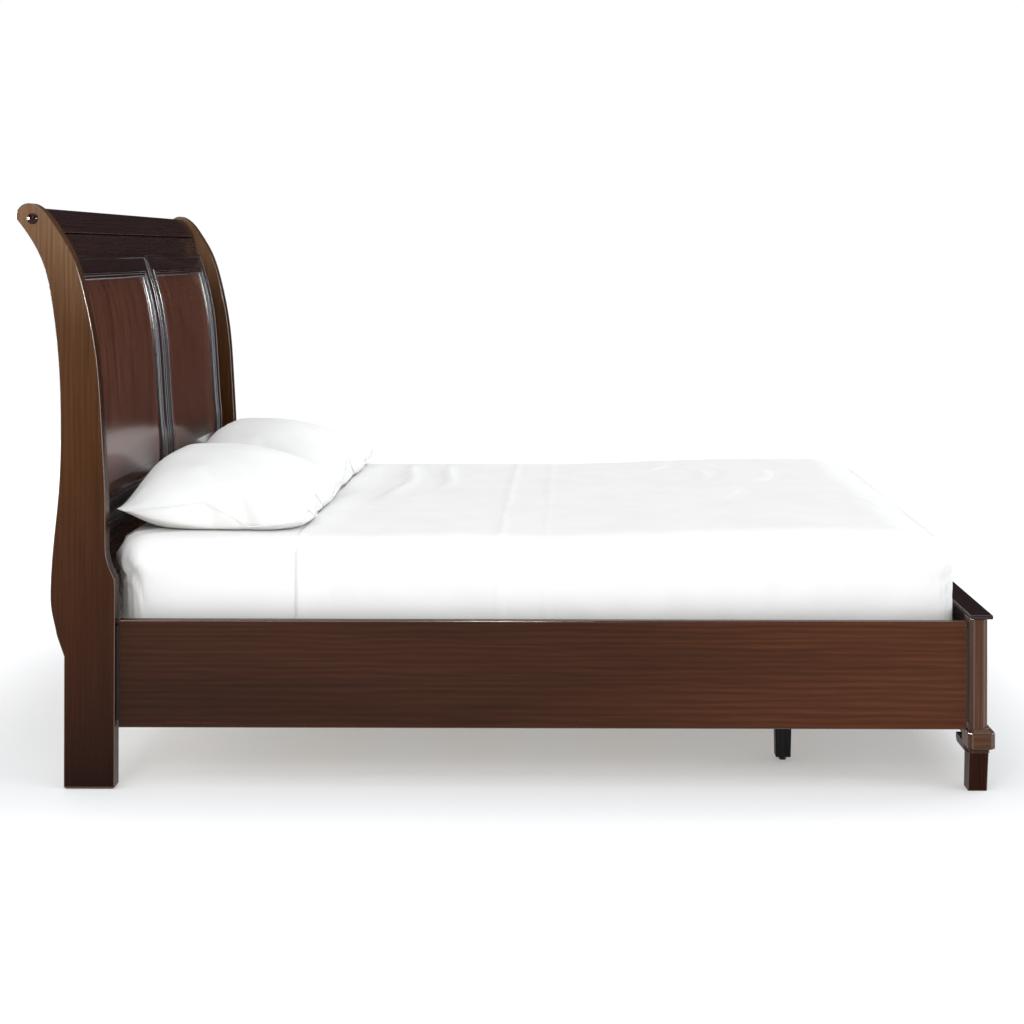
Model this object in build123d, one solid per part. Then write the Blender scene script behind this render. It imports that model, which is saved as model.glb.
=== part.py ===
from build123d import *
import math
import os

# Sleigh bed for a queen mattress, in millimetres. +X runs from head to foot, +Y across the bed,
# +Z up. The origin is on the floor, midway along and across the bed.
# "left" is the -Y side and "right" is the +Y side.

# Driving dimensions
MATTRESS_LENGTH = 2032
MATTRESS_WIDTH = 1524
HALF_WIDTH = 847.5                  # centre line to the outer face of a headboard post
HEAD_FACE_X = -928                  # front face of the headboard posts, where the side rails hook on
FOOT_FACE_X = 1109                  # inner face of the footboard
SLAT_TOP_Z = 207
FOUNDATION_HEIGHT = 127
MATTRESS_HEIGHT = 254
MATTRESS_CORNER = 70                # rounding of its corners in plan, and of its long edges
MATTRESS_EDGE = 22
MATTRESS_FOOT_GAP = 22              # air between the mattress and the footboard
FOUNDATION_CORNER = 50
FOUNDATION_EDGE = 8
REST_GAP = 0.3                      # air between soft pieces that lie on each other

# Headboard
POST_THICKNESS = 42
POST_BACK_X = -1049
POST_CHAMFER = 4
SCROLL_CENTRE = (-1135, 1363.5)
SCROLL_RADIUS = 31.5
CREST_RADIUS = 21.5
CREST_BOTTOM_Z = 1327
FRIEZE_TOP_Z = 1323
CREST_TONGUE_HALF = 4               # half the thickness of the tongue between frieze and crest, and its depth
CREST_TONGUE_END = 20               # the tongue stops this far from the posts
BOTTOM_RAIL_BOTTOM_Z = 330
FRAME_THICKNESS = 24
MOULDING_TOP_Z = 1265
MOULDING_FOOT_Z = 605
MOULDING_WIDTH = 63
MOULDING_OUT = 15                   # face of a moulded frame in front of the boards behind it
MOULDING_LEAN = 0.95                # height of the top moulding for its width, as it leans with the curve
CENTRE_GAP = 14                     # between the two moulded frames
SIDE_GAP = 38                       # between a moulded frame and its post
PANEL_SETBACK = 6                   # panel face behind the face of its moulding
PANEL_THICKNESS = 14
PANEL_BACK = 5                      # thickness of the panel's edge that lies behind the moulding
PANEL_LAP = 12                      # how far a panel's edge reaches behind its moulding
BUTTON_RADIUS = 13.5
BUTTON_HEIGHT = 6
BUTTON_AXIS = (-1126, 1358)

# Side rails and slats
RAIL_SETBACK = 20                   # outer face of a rail behind the outer face of the posts
RAIL_THICKNESS = 22
RAIL_BOTTOM_Z = 142
RAIL_HEIGHT = 258
PLATE_THICKNESS = 4
LEDGE_WIDTH = 22
LEDGE_HEIGHT = 38
SLAT_THICKNESS = 20
SLAT_WIDTH = 90
SLAT_CLEARANCE = 2
SLAT_X = (-866, -476, -86, 304, 694, 1040)
SUPPORT_LEG_TOP = 44
SUPPORT_LEG_FOOT = 38
GLIDE_GAP = 9                       # foot of a support leg above the floor
STUD_RADIUS = 4
RUNNING_CLEARANCE = 0.05

# Footboard
FOOT_POST_X = 44
FOOT_POST_Y = 66
FOOT_POST_SETBACK = 6               # outer face of the footboard post behind that of the headboard
FOOT_POST_CHAMFER = 10
CAP_BOTTOM_Z = 408.5
CAP_HEIGHT = 10.5
COLLAR_BOTTOM_Z = 100
COLLAR_TOP_Z = 150
COLLAR_OUT_Y = 10
COLLAR_OUT_FOOT = 16.5
COLLAR_OUT_HEAD = 5
FOOT_FRAME_THICKNESS = 26
FOOT_RAIL_TOP = 62                  # height of the footboard's top rail
FOOT_STILE = 66
FOOT_RAIL_BOTTOM_Z = 100
FOOT_RAIL_BOTTOM_TOP_Z = 205
BRACKET_BOTTOM_Z = 78
BRACKET_LENGTH = 112
LEG_SIZE = 48
LEG_FOOT_SIZE = 46
LEG_SPLAY = 3                       # the leg's foot stands this much nearer the head than its top

# Fasteners and hooks
DOWEL_RADIUS = 5
DOWEL_HALF = 30
FOOT_DOWEL_HALF = 30
HEADBOARD_DOWEL_Z = (1290, 380, 480, 590)
FOOTBOARD_DOWEL_Z = (125, 180, 362, 392)
CREST_SCREW_RADIUS = 3
CREST_SCREW_GRIP = 45
SCREW_HEAD_RADIUS = 6
SCREW_HEAD_DEPTH = 5
BUTTON_RECESS = 12
BUTTON_STEM = 8
HOOK_Z = (200, 320)
HOOK_NECK = 16
HOOK_DROP = 10
HOOK_THICKNESS = 4
HOOK_TIP = 14                       # reach of a hook past the post's face
HOOK_TONGUE = 6                     # start of the hook's down-turned tongue
HOOK_REACH = 16
HOOK_POCKET_Y = 10
HOOK_SLOT_Y = 5
HOOK_CLEARANCE = 1
HOOK_PLATE_LENGTH = 60
HOOK_PLATE_Z = (186, 350)
SLOT_PLATE_Z = (160, 384)
PLATE_SCREW_Z = (174, 370)
PLATE_SCREW_GRIP = 25
PLATE_SCREW_HEAD = 3
PLATE_SCREW_HEAD_RADIUS = 4
PLATE_SCREW_RADIUS = 2
PIN_INSET = 40
PIN_Z = (210, 330)
PIN_RADIUS = 3
PIN_COVER = 5                       # wood left over a pin on the rail's outer face
LEDGE_X = (-910, 1090)
LEDGE_SCREW_COUNT = 8
LEDGE_SCREW_END = 75
LEDGE_SCREW_PITCH = 264
LEDGE_SCREW_GRIP = 15
SLAT_SCREW_GRIP = 25
BOLT_RADIUS = 4
BOLT_HEAD = 5
BOLT_HEAD_RADIUS = 8
BOLT_GRIP = 40
STUD_TOP_Z = 46
STUD_SPARE = 6
GLIDE_RADIUS = 9
GLIDE_FOOT_HEIGHT = 4
GLIDE_HEX_RADIUS = 7
GLIDE_SHOULDER_GAP = 0.3            # air between the glide's collar and the leg
LEG_BOLT_HALF = 35
RAIL_CHAMFER = 2

# Mouldings, from the outer edge inwards: start, end and height of each step over the moulding's face
MOULDING_STEPS = ((0, 17, 3), (17, 40, 0), (40, 56, 4), (56, 63, -7))

# Details of the footboard
FOOT_FRAME_SETBACK = 6
FOOT_PANEL_BEVEL_DEPTH = 4
FOOT_PANEL_BEVEL_WIDTH = 28
CAP_NOSE = 11
CAP_END = 3
CAP_ROUND = 3
COLLAR_BEVEL = 12
MOULDING_BEVEL = 12
BRACKET_EASE = 8
LEG_PROUD = 3
LEG_BEAD_Z = (93, 98)
LEG_BEAD_PROUD = 0.8

# Pillow
PILLOW_HEAD_EDGE = (-960, 640)
PILLOW_CROWN = (-800, 742)
PILLOW_FOOT_EDGE = (-482, 612)
PILLOW_REST_X = (-900, -540)        # the pillow lies flat between these
PILLOW_Y = (14, 726)
PILLOW_HEIGHT = 158
PILLOW_SEAM_HEIGHT = 45

# Support legs under the slats: name, X of the slat and distance across the bed
SUPPORT_LEGS = {
    "left": (SLAT_X[4], -575),
    "right": (SLAT_X[4], 575),
    "centre_head": (SLAT_X[1], 0),
    "centre_foot": (SLAT_X[3], 0),
}

# Worked out
PANEL_TOP_Z = MOULDING_TOP_Z - MOULDING_WIDTH * MOULDING_LEAN
PANEL_FOOT_Z = MOULDING_FOOT_Z + MOULDING_WIDTH
FRIEZE_BOTTOM_Z = PANEL_TOP_Z + PANEL_LAP
BOTTOM_RAIL_TOP_Z = PANEL_FOOT_Z - PANEL_LAP
INNER_Y = HALF_WIDTH - POST_THICKNESS
RAIL_OUTER_Y = HALF_WIDTH - RAIL_SETBACK
RAIL_INNER_Y = RAIL_OUTER_Y - RAIL_THICKNESS
RAIL_START_X = HEAD_FACE_X + PLATE_THICKNESS
RAIL_END_X = FOOT_FACE_X - PLATE_THICKNESS
HOOK_Y = RAIL_OUTER_Y - RAIL_THICKNESS / 2
MATTRESS_FOOT_X = FOOT_FACE_X - MATTRESS_FOOT_GAP
MATTRESS_HEAD_X = MATTRESS_FOOT_X - MATTRESS_LENGTH
FOUNDATION_TOP_Z = SLAT_TOP_Z + FOUNDATION_HEIGHT
MATTRESS_TOP_Z = FOUNDATION_TOP_Z + MATTRESS_HEIGHT
SLAT_BOTTOM_Z = SLAT_TOP_Z - SLAT_THICKNESS
LEDGE_BOTTOM_Z = SLAT_BOTTOM_Z - LEDGE_HEIGHT
FOOT_OUTER_X = FOOT_FACE_X + FOOT_POST_X
FOOT_POST_OUTER_Y = HALF_WIDTH - FOOT_POST_SETBACK
FOOT_POST_INNER_Y = FOOT_POST_OUTER_Y - FOOT_POST_Y

# Curves in the XZ plane, from the top of the bed to the bottom
POST_FRONT = [(-1110, 1385), (-1068.5, 1336), (-1035, 1278.5), (-1006, 1193), (-977, 1050), (-962, 879)]
POST_FRONT_END = (-952.5, 707)
POST_FRONT_END_PULL = 0.3            # a stronger pull would make the curve loop back on itself
POST_STEP_TOP = (-951, 575)
POST_STEP_BOTTOM = (-930, 501)
POST_STEP_EASE = 16                 # height of the short slope under the step
POST_REAR_CORNER = (-1165.5, 1358)
POST_REAR = [(-1129, 1307), (-1101, 1250), (-1081, 1164), (-1066.5, 1050), (-1058.5, 880), (-1063, 707),
             (-1075, 585), (-1082, 470), (-1079.5, 426), (-1069, 378)]
POST_REAR_END = (POST_BACK_X, 316)
CREST_FRONT = [(-1110.5, 1370), (-1096, 1347)]
CREST_FRONT_END = (-1087, CREST_BOTTOM_Z)
CREST_REAR_END = (-1122, CREST_BOTTOM_Z)
FRAME_CURVE = [(-1087, 1327), (-1084, 1305), (-1079.5, 1283), (-1073, 1260), (-1063, 1230), (-1045.5, 1172.5),
               (-1033, 1116.5), (-1017.5, 974), (-1005.5, 790), (-1001, 620)]


def at(point):
    """Place an (x, z) pair in the bed's middle plane."""
    return (point[0], 0, point[1])


def shifted(points, distance):
    """Move a list of (x, z) points along X."""
    return [(x + distance, z) for x, z in points]


def block(x_low, x_high, y_low, y_high, z_low, z_high):
    """A box given by its limits."""
    centre = Pos((x_low + x_high) / 2, (y_low + y_high) / 2, (z_low + z_high) / 2)
    return centre * Box(x_high - x_low, y_high - y_low, z_high - z_low)


def rod(start, end, radius):
    """A round bar between two points."""
    direction = Vector(*end) - Vector(*start)
    plane = Plane(origin=start, z_dir=direction)
    return extrude(plane * Circle(radius), amount=direction.length)


def slab(edges, y_low, y_high):
    """Extrude a closed XZ outline across the bed."""
    face = make_face(edges)
    solid = extrude(face, amount=y_high - y_low, dir=(0, 1, 0))
    return Pos(0, y_low, 0) * solid


def mirrored(shape):
    """The same piece on the other side of the bed."""
    return mirror(shape, about=Plane.XZ)


def group(*shapes):
    """Separate solids that share one node."""
    solids = []
    for shape in shapes:
        solids.extend(shape.solids())
    return Compound(children=solids)


def frame_line(distance, z_low):
    """The headboard's face curve moved back by a distance, with its straight lower end."""
    points = [at(p) for p in shifted(FRAME_CURVE, -distance)]
    curve = Spline(points, tangents=[(0.1, 0, -1), (0, 0, -1)])
    end = (FRAME_CURVE[-1][0] - distance, 0, z_low)
    return curve, Line(points[-1], end)


def curved_board(front, back, y_low, y_high, z_low, z_high):
    """A board that follows the headboard's curve between two set-backs."""
    floor_z = BOTTOM_RAIL_BOTTOM_Z - 20
    front_curve, front_line = frame_line(front, floor_z)
    back_curve, back_line = frame_line(back, floor_z)
    top = Line(front_curve @ 0, back_curve @ 0)
    bottom = Line(front_line @ 1, back_line @ 1)
    blank = slab([front_curve, front_line, bottom, back_line, back_curve, top], y_low, y_high)
    return blank & block(-1200, -900, y_low - 1, y_high + 1, z_low, z_high)


def frame_x(z):
    """X of the headboard's face at a height, by straight steps between the curve's points."""
    for (x_top, z_top), (x_low, z_low) in zip(FRAME_CURVE, FRAME_CURVE[1:]):
        if z_low <= z <= z_top:
            share = (z - z_low) / (z_top - z_low)
            return x_low + share * (x_top - x_low)
    return FRAME_CURVE[-1][0]


# ---------------------------------------------------------------- headboard

def post_blank():
    """The S-shaped side post on the left, with its scroll head."""
    scroll_x, scroll_z = SCROLL_CENTRE
    diagonal = SCROLL_RADIUS * math.cos(math.radians(45))
    top = (scroll_x, scroll_z + SCROLL_RADIUS)
    step_end = (HEAD_FACE_X, POST_STEP_BOTTOM[1] - POST_STEP_EASE)
    front_points = [at(top)] + [at(p) for p in POST_FRONT] + [at(POST_FRONT_END)]
    rear_points = [at(POST_REAR_CORNER)] + [at(p) for p in POST_REAR] + [at(POST_REAR_END)]
    outline = [
        ThreePointArc(at(POST_REAR_CORNER), at((scroll_x - diagonal, scroll_z + diagonal)), at(top)),
        Spline(front_points, tangents=[(1, 0, 0), (0.03, 0, -1)], tangent_scalars=(1, POST_FRONT_END_PULL)),
        Line(at(POST_FRONT_END), at(POST_STEP_TOP)),
        Spline([at(POST_STEP_TOP), at(POST_STEP_BOTTOM)], tangents=[(0, 0, -1), (0.45, 0, -1)]),
        Line(at(POST_STEP_BOTTOM), at(step_end)),
        Line(at(step_end), at((HEAD_FACE_X, 0))),
        Line(at((HEAD_FACE_X, 0)), at((POST_BACK_X, 0))),
        Line(at((POST_BACK_X, 0)), at(POST_REAR_END)),
        Spline(rear_points, tangents=[(0.6, 0, -0.75), (0.36, 0, -1)]),
    ]
    return slab(outline, -HALF_WIDTH, -INNER_Y)


def hook_mortise(face_x, direction):
    """The pocket in a post that the hooks of a rail plate drop into."""
    near = face_x
    far = face_x + direction * HOOK_REACH
    pockets = []
    for z in HOOK_Z:
        pockets.append(block(min(near, far), max(near, far), -HOOK_Y - HOOK_POCKET_Y / 2,
                             -HOOK_Y + HOOK_POCKET_Y / 2, z - HOOK_DROP - HOOK_CLEARANCE,
                             z + HOOK_NECK + HOOK_DROP))
    return pockets


def headboard_post_left():
    """One side post, bored for its dowels, crest screw, plate screws and rail hooks."""
    post = post_blank()
    post -= crest_screw_left()
    post -= rod(at_y(BUTTON_AXIS, -HALF_WIDTH - 1), at_y(BUTTON_AXIS, -HALF_WIDTH + BUTTON_RECESS),
                SCREW_HEAD_RADIUS)
    for dowel in headboard_dowels_left():
        post -= dowel
    for pocket in hook_mortise(HEAD_FACE_X, -1):
        post -= pocket
    for screw in plate_screws_left(HEAD_FACE_X, -1):
        post -= screw
    foot_edges = post.edges().filter_by(lambda e: e.center().Z < 0.1 and e.length > 30)
    return chamfer(foot_edges, POST_CHAMFER)


def at_y(point, y):
    """Place an (x, z) pair at a distance across the bed."""
    return (point[0], y, point[1])


def crest_screw_left():
    """The long screw under the button, through the post into the crest rail."""
    head = rod(at_y(BUTTON_AXIS, -HALF_WIDTH + BUTTON_RECESS),
               at_y(BUTTON_AXIS, -HALF_WIDTH + BUTTON_RECESS + SCREW_HEAD_DEPTH), SCREW_HEAD_RADIUS)
    shank = rod(at_y(BUTTON_AXIS, -HALF_WIDTH + BUTTON_RECESS),
                at_y(BUTTON_AXIS, -INNER_Y + CREST_SCREW_GRIP), CREST_SCREW_RADIUS)
    return head + shank


def scroll_button_left():
    """The domed button that hides the crest screw."""
    dome_radius = (BUTTON_RADIUS ** 2 + BUTTON_HEIGHT ** 2) / (2 * BUTTON_HEIGHT)
    x, z = BUTTON_AXIS
    ball = Pos(x, -HALF_WIDTH - BUTTON_HEIGHT + dome_radius, z) * Sphere(dome_radius)
    dome = ball & block(x - 50, x + 50, -HALF_WIDTH - 50, -HALF_WIDTH, z - 50, z + 50)
    stem = rod(at_y(BUTTON_AXIS, -HALF_WIDTH), at_y(BUTTON_AXIS, -HALF_WIDTH + BUTTON_STEM),
               SCREW_HEAD_RADIUS)
    return dome + stem


def headboard_crest_rail():
    """The rolled top rail between the posts."""
    x, z = SCROLL_CENTRE
    diagonal = CREST_RADIUS * math.cos(math.radians(45))
    front_start = (x + diagonal, z + diagonal)
    rear_start = (x - diagonal, z - diagonal)
    front_points = [at(front_start)] + [at(p) for p in CREST_FRONT] + [at(CREST_FRONT_END)]
    outline = [
        ThreePointArc(at(rear_start), at((x - diagonal, z + diagonal)), at(front_start)),
        Spline(front_points, tangents=[(1, 0, -1), (0.3, 0, -1)]),
        Line(at(CREST_FRONT_END), at(CREST_REAR_END)),
        Line(at(CREST_REAR_END), at(rear_start)),
    ]
    crest = slab(outline, -INNER_Y, INNER_Y)
    crest -= crest_screw_left()
    crest -= mirrored(crest_screw_left())
    return crest - frame_dowels()


def headboard_frieze_rail():
    """The curved rail under the crest, set a shadow groove below it."""
    rail = curved_board(0, FRAME_THICKNESS, -INNER_Y, INNER_Y, FRIEZE_BOTTOM_Z, FRIEZE_TOP_Z)
    tongue_x = frame_x(FRIEZE_TOP_Z - 1) - FRAME_THICKNESS / 2
    tongue_y = INNER_Y - CREST_TONGUE_END
    rail += block(tongue_x - CREST_TONGUE_HALF, tongue_x + CREST_TONGUE_HALF, -tongue_y, tongue_y,
                  FRIEZE_TOP_Z - CREST_TONGUE_HALF, CREST_BOTTOM_Z)
    return rail - frame_dowels()


def headboard_stile_left():
    """The upright at the post, between the bottom rail and the frieze."""
    y_low, _ = moulding_limits_left()
    return curved_board(0, FRAME_THICKNESS, -INNER_Y, y_low + MOULDING_WIDTH - PANEL_LAP, BOTTOM_RAIL_TOP_Z,
                        FRIEZE_BOTTOM_Z)


def headboard_centre_stile():
    """The upright between the two panels."""
    half = CENTRE_GAP / 2 + MOULDING_WIDTH - PANEL_LAP
    return curved_board(0, FRAME_THICKNESS, -half, half, BOTTOM_RAIL_TOP_Z, FRIEZE_BOTTOM_Z)


def headboard_bottom_rail():
    """The wide board behind the mattress."""
    rail = curved_board(0, FRAME_THICKNESS, -INNER_Y, INNER_Y, BOTTOM_RAIL_BOTTOM_Z, BOTTOM_RAIL_TOP_Z)
    return rail - frame_dowels()


def moulding_limits_left():
    """The Y limits of the left panel's moulded frame."""
    return -INNER_Y + SIDE_GAP, -CENTRE_GAP / 2


def headboard_panel_left():
    """A curved panel in its moulded frame, with a thin edge that lies behind the moulding."""
    y_outer_low, y_outer_high = moulding_limits_left()
    y_low = y_outer_low + MOULDING_WIDTH
    y_high = y_outer_high - MOULDING_WIDTH
    face = PANEL_SETBACK - MOULDING_OUT
    field = curved_board(face, PANEL_BACK, y_low, y_high, PANEL_FOOT_Z, PANEL_TOP_Z)
    edge = curved_board(0, PANEL_BACK, y_low - PANEL_LAP, y_high + PANEL_LAP, PANEL_FOOT_Z - PANEL_LAP,
                        PANEL_TOP_Z + PANEL_LAP)
    return (field + edge).clean()


def moulding_side(y_outer, direction):
    """One upright moulding: a proud outer bead, a flat, the inner reeds and the step down to the panel."""
    bars = []
    for start, end, height in MOULDING_STEPS:
        y_start = y_outer + direction * start
        y_end = y_outer + direction * end
        bars.append(curved_board(-MOULDING_OUT - height, 0, min(y_start, y_end), max(y_start, y_end),
                                 MOULDING_FOOT_Z, MOULDING_TOP_Z))
    return bars[0].fuse(*bars[1:]).clean()


def moulding_level(y_low, y_high, z_outer, direction):
    """One level moulding across a panel, with the same steps. Direction is its height for its width."""
    bars = []
    for start, end, height in MOULDING_STEPS:
        z_start = z_outer + direction * start
        z_end = z_outer + direction * end
        bars.append(curved_board(-MOULDING_OUT - height, 0, y_low, y_high, min(z_start, z_end),
                                 max(z_start, z_end)))
    return bars[0].fuse(*bars[1:]).clean()


def headboard_moulding_left():
    """The moulded frame around a panel: two uprights, with a level moulding at the top and the bottom."""
    y_low, y_high = moulding_limits_left()
    inner_low = y_low + MOULDING_WIDTH
    inner_high = y_high - MOULDING_WIDTH
    return group(moulding_side(y_low, 1), moulding_side(y_high, -1),
                 moulding_level(inner_low, inner_high, MOULDING_TOP_Z, -MOULDING_LEAN),
                 moulding_level(inner_low, inner_high, MOULDING_FOOT_Z, 1))


def headboard_dowels_left():
    """Dowels from the left post into the rails."""
    dowels = []
    for z in HEADBOARD_DOWEL_Z:
        x = frame_x(z) - FRAME_THICKNESS / 2
        dowels.append(rod((x, -INNER_Y - DOWEL_HALF, z), (x, -INNER_Y + DOWEL_HALF, z), DOWEL_RADIUS))
    return dowels


# ---------------------------------------------------------------- rails and their hardware

def side_rail_left():
    """A plain board, slotted at both ends for the hook plates."""
    rail = block(RAIL_START_X, RAIL_END_X, -RAIL_OUTER_Y, -RAIL_INNER_Y, RAIL_BOTTOM_Z,
                 RAIL_BOTTOM_Z + RAIL_HEIGHT)
    rail -= hook_plate_left(HEAD_FACE_X, 1)
    rail -= hook_plate_left(FOOT_FACE_X, -1)
    for pin in hook_pins_left():
        rail -= pin
    for screw in ledge_screws_left():
        rail -= screw
    long_edges = rail.edges().filter_by(Axis.X).filter_by(lambda e: e.length > 1000)
    return chamfer(long_edges.sort_by(Axis.Z)[-2:], RAIL_CHAMFER)


def hook_plate_left(face_x, direction):
    """A steel plate let into a rail's end, with hooks that reach into the post."""
    start = face_x + direction * PLATE_THICKNESS
    end = start + direction * HOOK_PLATE_LENGTH
    low_y = -HOOK_Y - HOOK_THICKNESS / 2
    high_y = -HOOK_Y + HOOK_THICKNESS / 2
    plate = block(min(start, end), max(start, end), low_y, high_y, HOOK_PLATE_Z[0], HOOK_PLATE_Z[1])
    for z in HOOK_Z:
        tip = face_x - direction * HOOK_TIP
        tongue = face_x - direction * HOOK_TONGUE
        plate += block(min(start, tip), max(start, tip), low_y, high_y, z, z + HOOK_NECK)
        plate += block(min(tongue, tip), max(tongue, tip), low_y, high_y, z - HOOK_DROP, z + HOOK_NECK)
    return plate


def slot_plate_left(face_x, direction):
    """The steel plate on a post, with a slot for each hook."""
    end = face_x + direction * PLATE_THICKNESS
    plate = block(min(face_x, end), max(face_x, end), -RAIL_OUTER_Y, -RAIL_INNER_Y, SLOT_PLATE_Z[0],
                  SLOT_PLATE_Z[1])
    for z in HOOK_Z:
        plate -= block(face_x - 10, face_x + 10, -HOOK_Y - HOOK_SLOT_Y / 2, -HOOK_Y + HOOK_SLOT_Y / 2,
                       z - HOOK_CLEARANCE, z + HOOK_NECK + HOOK_DROP)
    for screw in plate_screws_left(face_x, -direction):
        plate -= screw
    return plate


def plate_screws_left(face_x, direction):
    """The two wood screws of a slot plate, flush with its face."""
    screws = []
    for z in PLATE_SCREW_Z:
        surface = face_x - direction * PLATE_THICKNESS
        head_end = face_x - direction * (PLATE_THICKNESS - PLATE_SCREW_HEAD)
        tip = face_x + direction * PLATE_SCREW_GRIP
        head = rod((surface, -HOOK_Y, z), (head_end, -HOOK_Y, z), PLATE_SCREW_HEAD_RADIUS)
        screws.append(head + rod((head_end, -HOOK_Y, z), (tip, -HOOK_Y, z), PLATE_SCREW_RADIUS))
    return screws


def hook_pins_left():
    """Steel pins that hold the hook plates in the rail."""
    pins = []
    for x in (RAIL_START_X + PIN_INSET, RAIL_END_X - PIN_INSET):
        for z in PIN_Z:
            pins.append(rod((x, -RAIL_INNER_Y, z), (x, -RAIL_OUTER_Y + PIN_COVER, z), PIN_RADIUS))
    return pins


def slat_ledge_left():
    """The cleat along the inside of a rail that carries the slats."""
    ledge = block(LEDGE_X[0], LEDGE_X[1], -RAIL_INNER_Y, -RAIL_INNER_Y + LEDGE_WIDTH, LEDGE_BOTTOM_Z,
                  SLAT_BOTTOM_Z)
    for screw in ledge_screws_left() + slat_screws_left():
        ledge -= screw
    return ledge


def ledge_screws_left():
    """Screws through the ledge into the rail."""
    screws = []
    for index in range(LEDGE_SCREW_COUNT):
        x = LEDGE_X[0] + LEDGE_SCREW_END + index * LEDGE_SCREW_PITCH
        face = -RAIL_INNER_Y + LEDGE_WIDTH
        z = (LEDGE_BOTTOM_Z + SLAT_BOTTOM_Z) / 2
        head = rod((x, face, z), (x, face - PLATE_SCREW_HEAD, z), PLATE_SCREW_HEAD_RADIUS)
        shank = rod((x, face, z), (x, -RAIL_INNER_Y - LEDGE_SCREW_GRIP, z), PLATE_SCREW_RADIUS)
        screws.append(head + shank)
    return screws


def slat(x):
    """One cross slat, bored for its end screws and for any support leg's bolt."""
    half_length = RAIL_INNER_Y - SLAT_CLEARANCE
    half_width = SLAT_WIDTH / 2
    board = block(x - half_width, x + half_width, -half_length, half_length, SLAT_BOTTOM_Z, SLAT_TOP_Z)
    for screw in slat_screws_at(x):
        board -= screw
        board -= mirrored(screw)
    for leg_x, leg_y in SUPPORT_LEGS.values():
        if leg_x == x:
            board -= support_bolt(leg_x, leg_y)
    return board


def slat_screws_at(x):
    """The screws of one slat on the left."""
    y = -RAIL_INNER_Y + LEDGE_WIDTH / 2
    bottom = SLAT_BOTTOM_Z - SLAT_SCREW_GRIP
    head = rod((x, y, SLAT_TOP_Z), (x, y, SLAT_TOP_Z - PLATE_SCREW_HEAD), PLATE_SCREW_HEAD_RADIUS)
    return [head + rod((x, y, SLAT_TOP_Z), (x, y, bottom), PLATE_SCREW_RADIUS)]


def slat_screws_left():
    """All slat screws on the left."""
    return [screw for x in SLAT_X for screw in slat_screws_at(x)]


# ---------------------------------------------------------------- support legs

def support_leg(x, y):
    """A tapered square leg, bored for its bolt and for the glide's stud."""
    top = Plane(origin=(x, y, SLAT_BOTTOM_Z)) * Rectangle(SUPPORT_LEG_TOP, SUPPORT_LEG_TOP)
    foot = Plane(origin=(x, y, GLIDE_GAP)) * Rectangle(SUPPORT_LEG_FOOT, SUPPORT_LEG_FOOT)
    leg = loft([foot, top])
    leg -= support_bolt(x, y)
    bore_radius = STUD_RADIUS + RUNNING_CLEARANCE
    return leg - rod((x, y, GLIDE_GAP - 1), (x, y, STUD_TOP_Z + STUD_SPARE), bore_radius)


def support_bolt(x, y):
    """The bolt that holds a support leg to its slat."""
    head = rod((x, y, SLAT_TOP_Z), (x, y, SLAT_TOP_Z - BOLT_HEAD), BOLT_HEAD_RADIUS)
    return head + rod((x, y, SLAT_TOP_Z), (x, y, SLAT_BOTTOM_Z - BOLT_GRIP), BOLT_RADIUS)


def glide(x, y):
    """A levelling glide: a foot, a hexagonal collar for the fingers and a threaded stud."""
    foot = Pos(x, y, GLIDE_FOOT_HEIGHT / 2) * Cylinder(GLIDE_RADIUS, GLIDE_FOOT_HEIGHT)
    collar_face = Plane(origin=(x, y, GLIDE_FOOT_HEIGHT)) * RegularPolygon(GLIDE_HEX_RADIUS, 6)
    collar = extrude(collar_face, amount=GLIDE_GAP - GLIDE_SHOULDER_GAP - GLIDE_FOOT_HEIGHT)
    return foot + collar + rod((x, y, GLIDE_FOOT_HEIGHT), (x, y, STUD_TOP_Z), STUD_RADIUS)


# ---------------------------------------------------------------- footboard

def footboard_post_left():
    """A square post with clipped outer corners."""
    post = block(FOOT_FACE_X, FOOT_OUTER_X, -FOOT_POST_OUTER_Y, -FOOT_POST_INNER_Y, COLLAR_BOTTOM_Z,
                 CAP_BOTTOM_Z)
    outer_edges = post.edges().filter_by(Axis.Z).filter_by(lambda e: e.center().Y < -FOOT_POST_OUTER_Y + 1)
    post = chamfer(outer_edges, FOOT_POST_CHAMFER)
    for pocket in hook_mortise(FOOT_FACE_X, 1):
        post -= pocket
    for screw in plate_screws_left(FOOT_FACE_X, 1):
        post -= screw
    for dowel in footboard_dowels_left():
        post -= dowel
    return post - leg_bolt_left()


def footboard_cap():
    """The flat board along the top, with a rounded nose and ends."""
    cap = block(FOOT_FACE_X, FOOT_OUTER_X + CAP_NOSE, -FOOT_POST_OUTER_Y - CAP_END, FOOT_POST_OUTER_Y + CAP_END,
                CAP_BOTTOM_Z, CAP_BOTTOM_Z + CAP_HEIGHT)
    nose_edges = cap.faces().sort_by(Axis.X)[-1].edges().filter_by(Axis.Y)
    end_edges = cap.edges().filter_by(Axis.X)
    return fillet(nose_edges + end_edges, CAP_ROUND)


def footboard_top_rail():
    """The rail under the cap."""
    rail = foot_board(-FOOT_POST_INNER_Y, FOOT_POST_INNER_Y, CAP_BOTTOM_Z - FOOT_RAIL_TOP, CAP_BOTTOM_Z)
    return rail - frame_dowels()


def footboard_bottom_rail():
    """The rail behind the base moulding."""
    rail = foot_board(-FOOT_POST_INNER_Y, FOOT_POST_INNER_Y, FOOT_RAIL_BOTTOM_Z, FOOT_RAIL_BOTTOM_TOP_Z)
    return rail - frame_dowels()


def foot_board(y_low, y_high, z_low, z_high):
    """A flat board of the footboard's frame."""
    front = FOOT_OUTER_X - FOOT_FRAME_SETBACK
    return block(front - FOOT_FRAME_THICKNESS, front, y_low, y_high, z_low, z_high)


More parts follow.
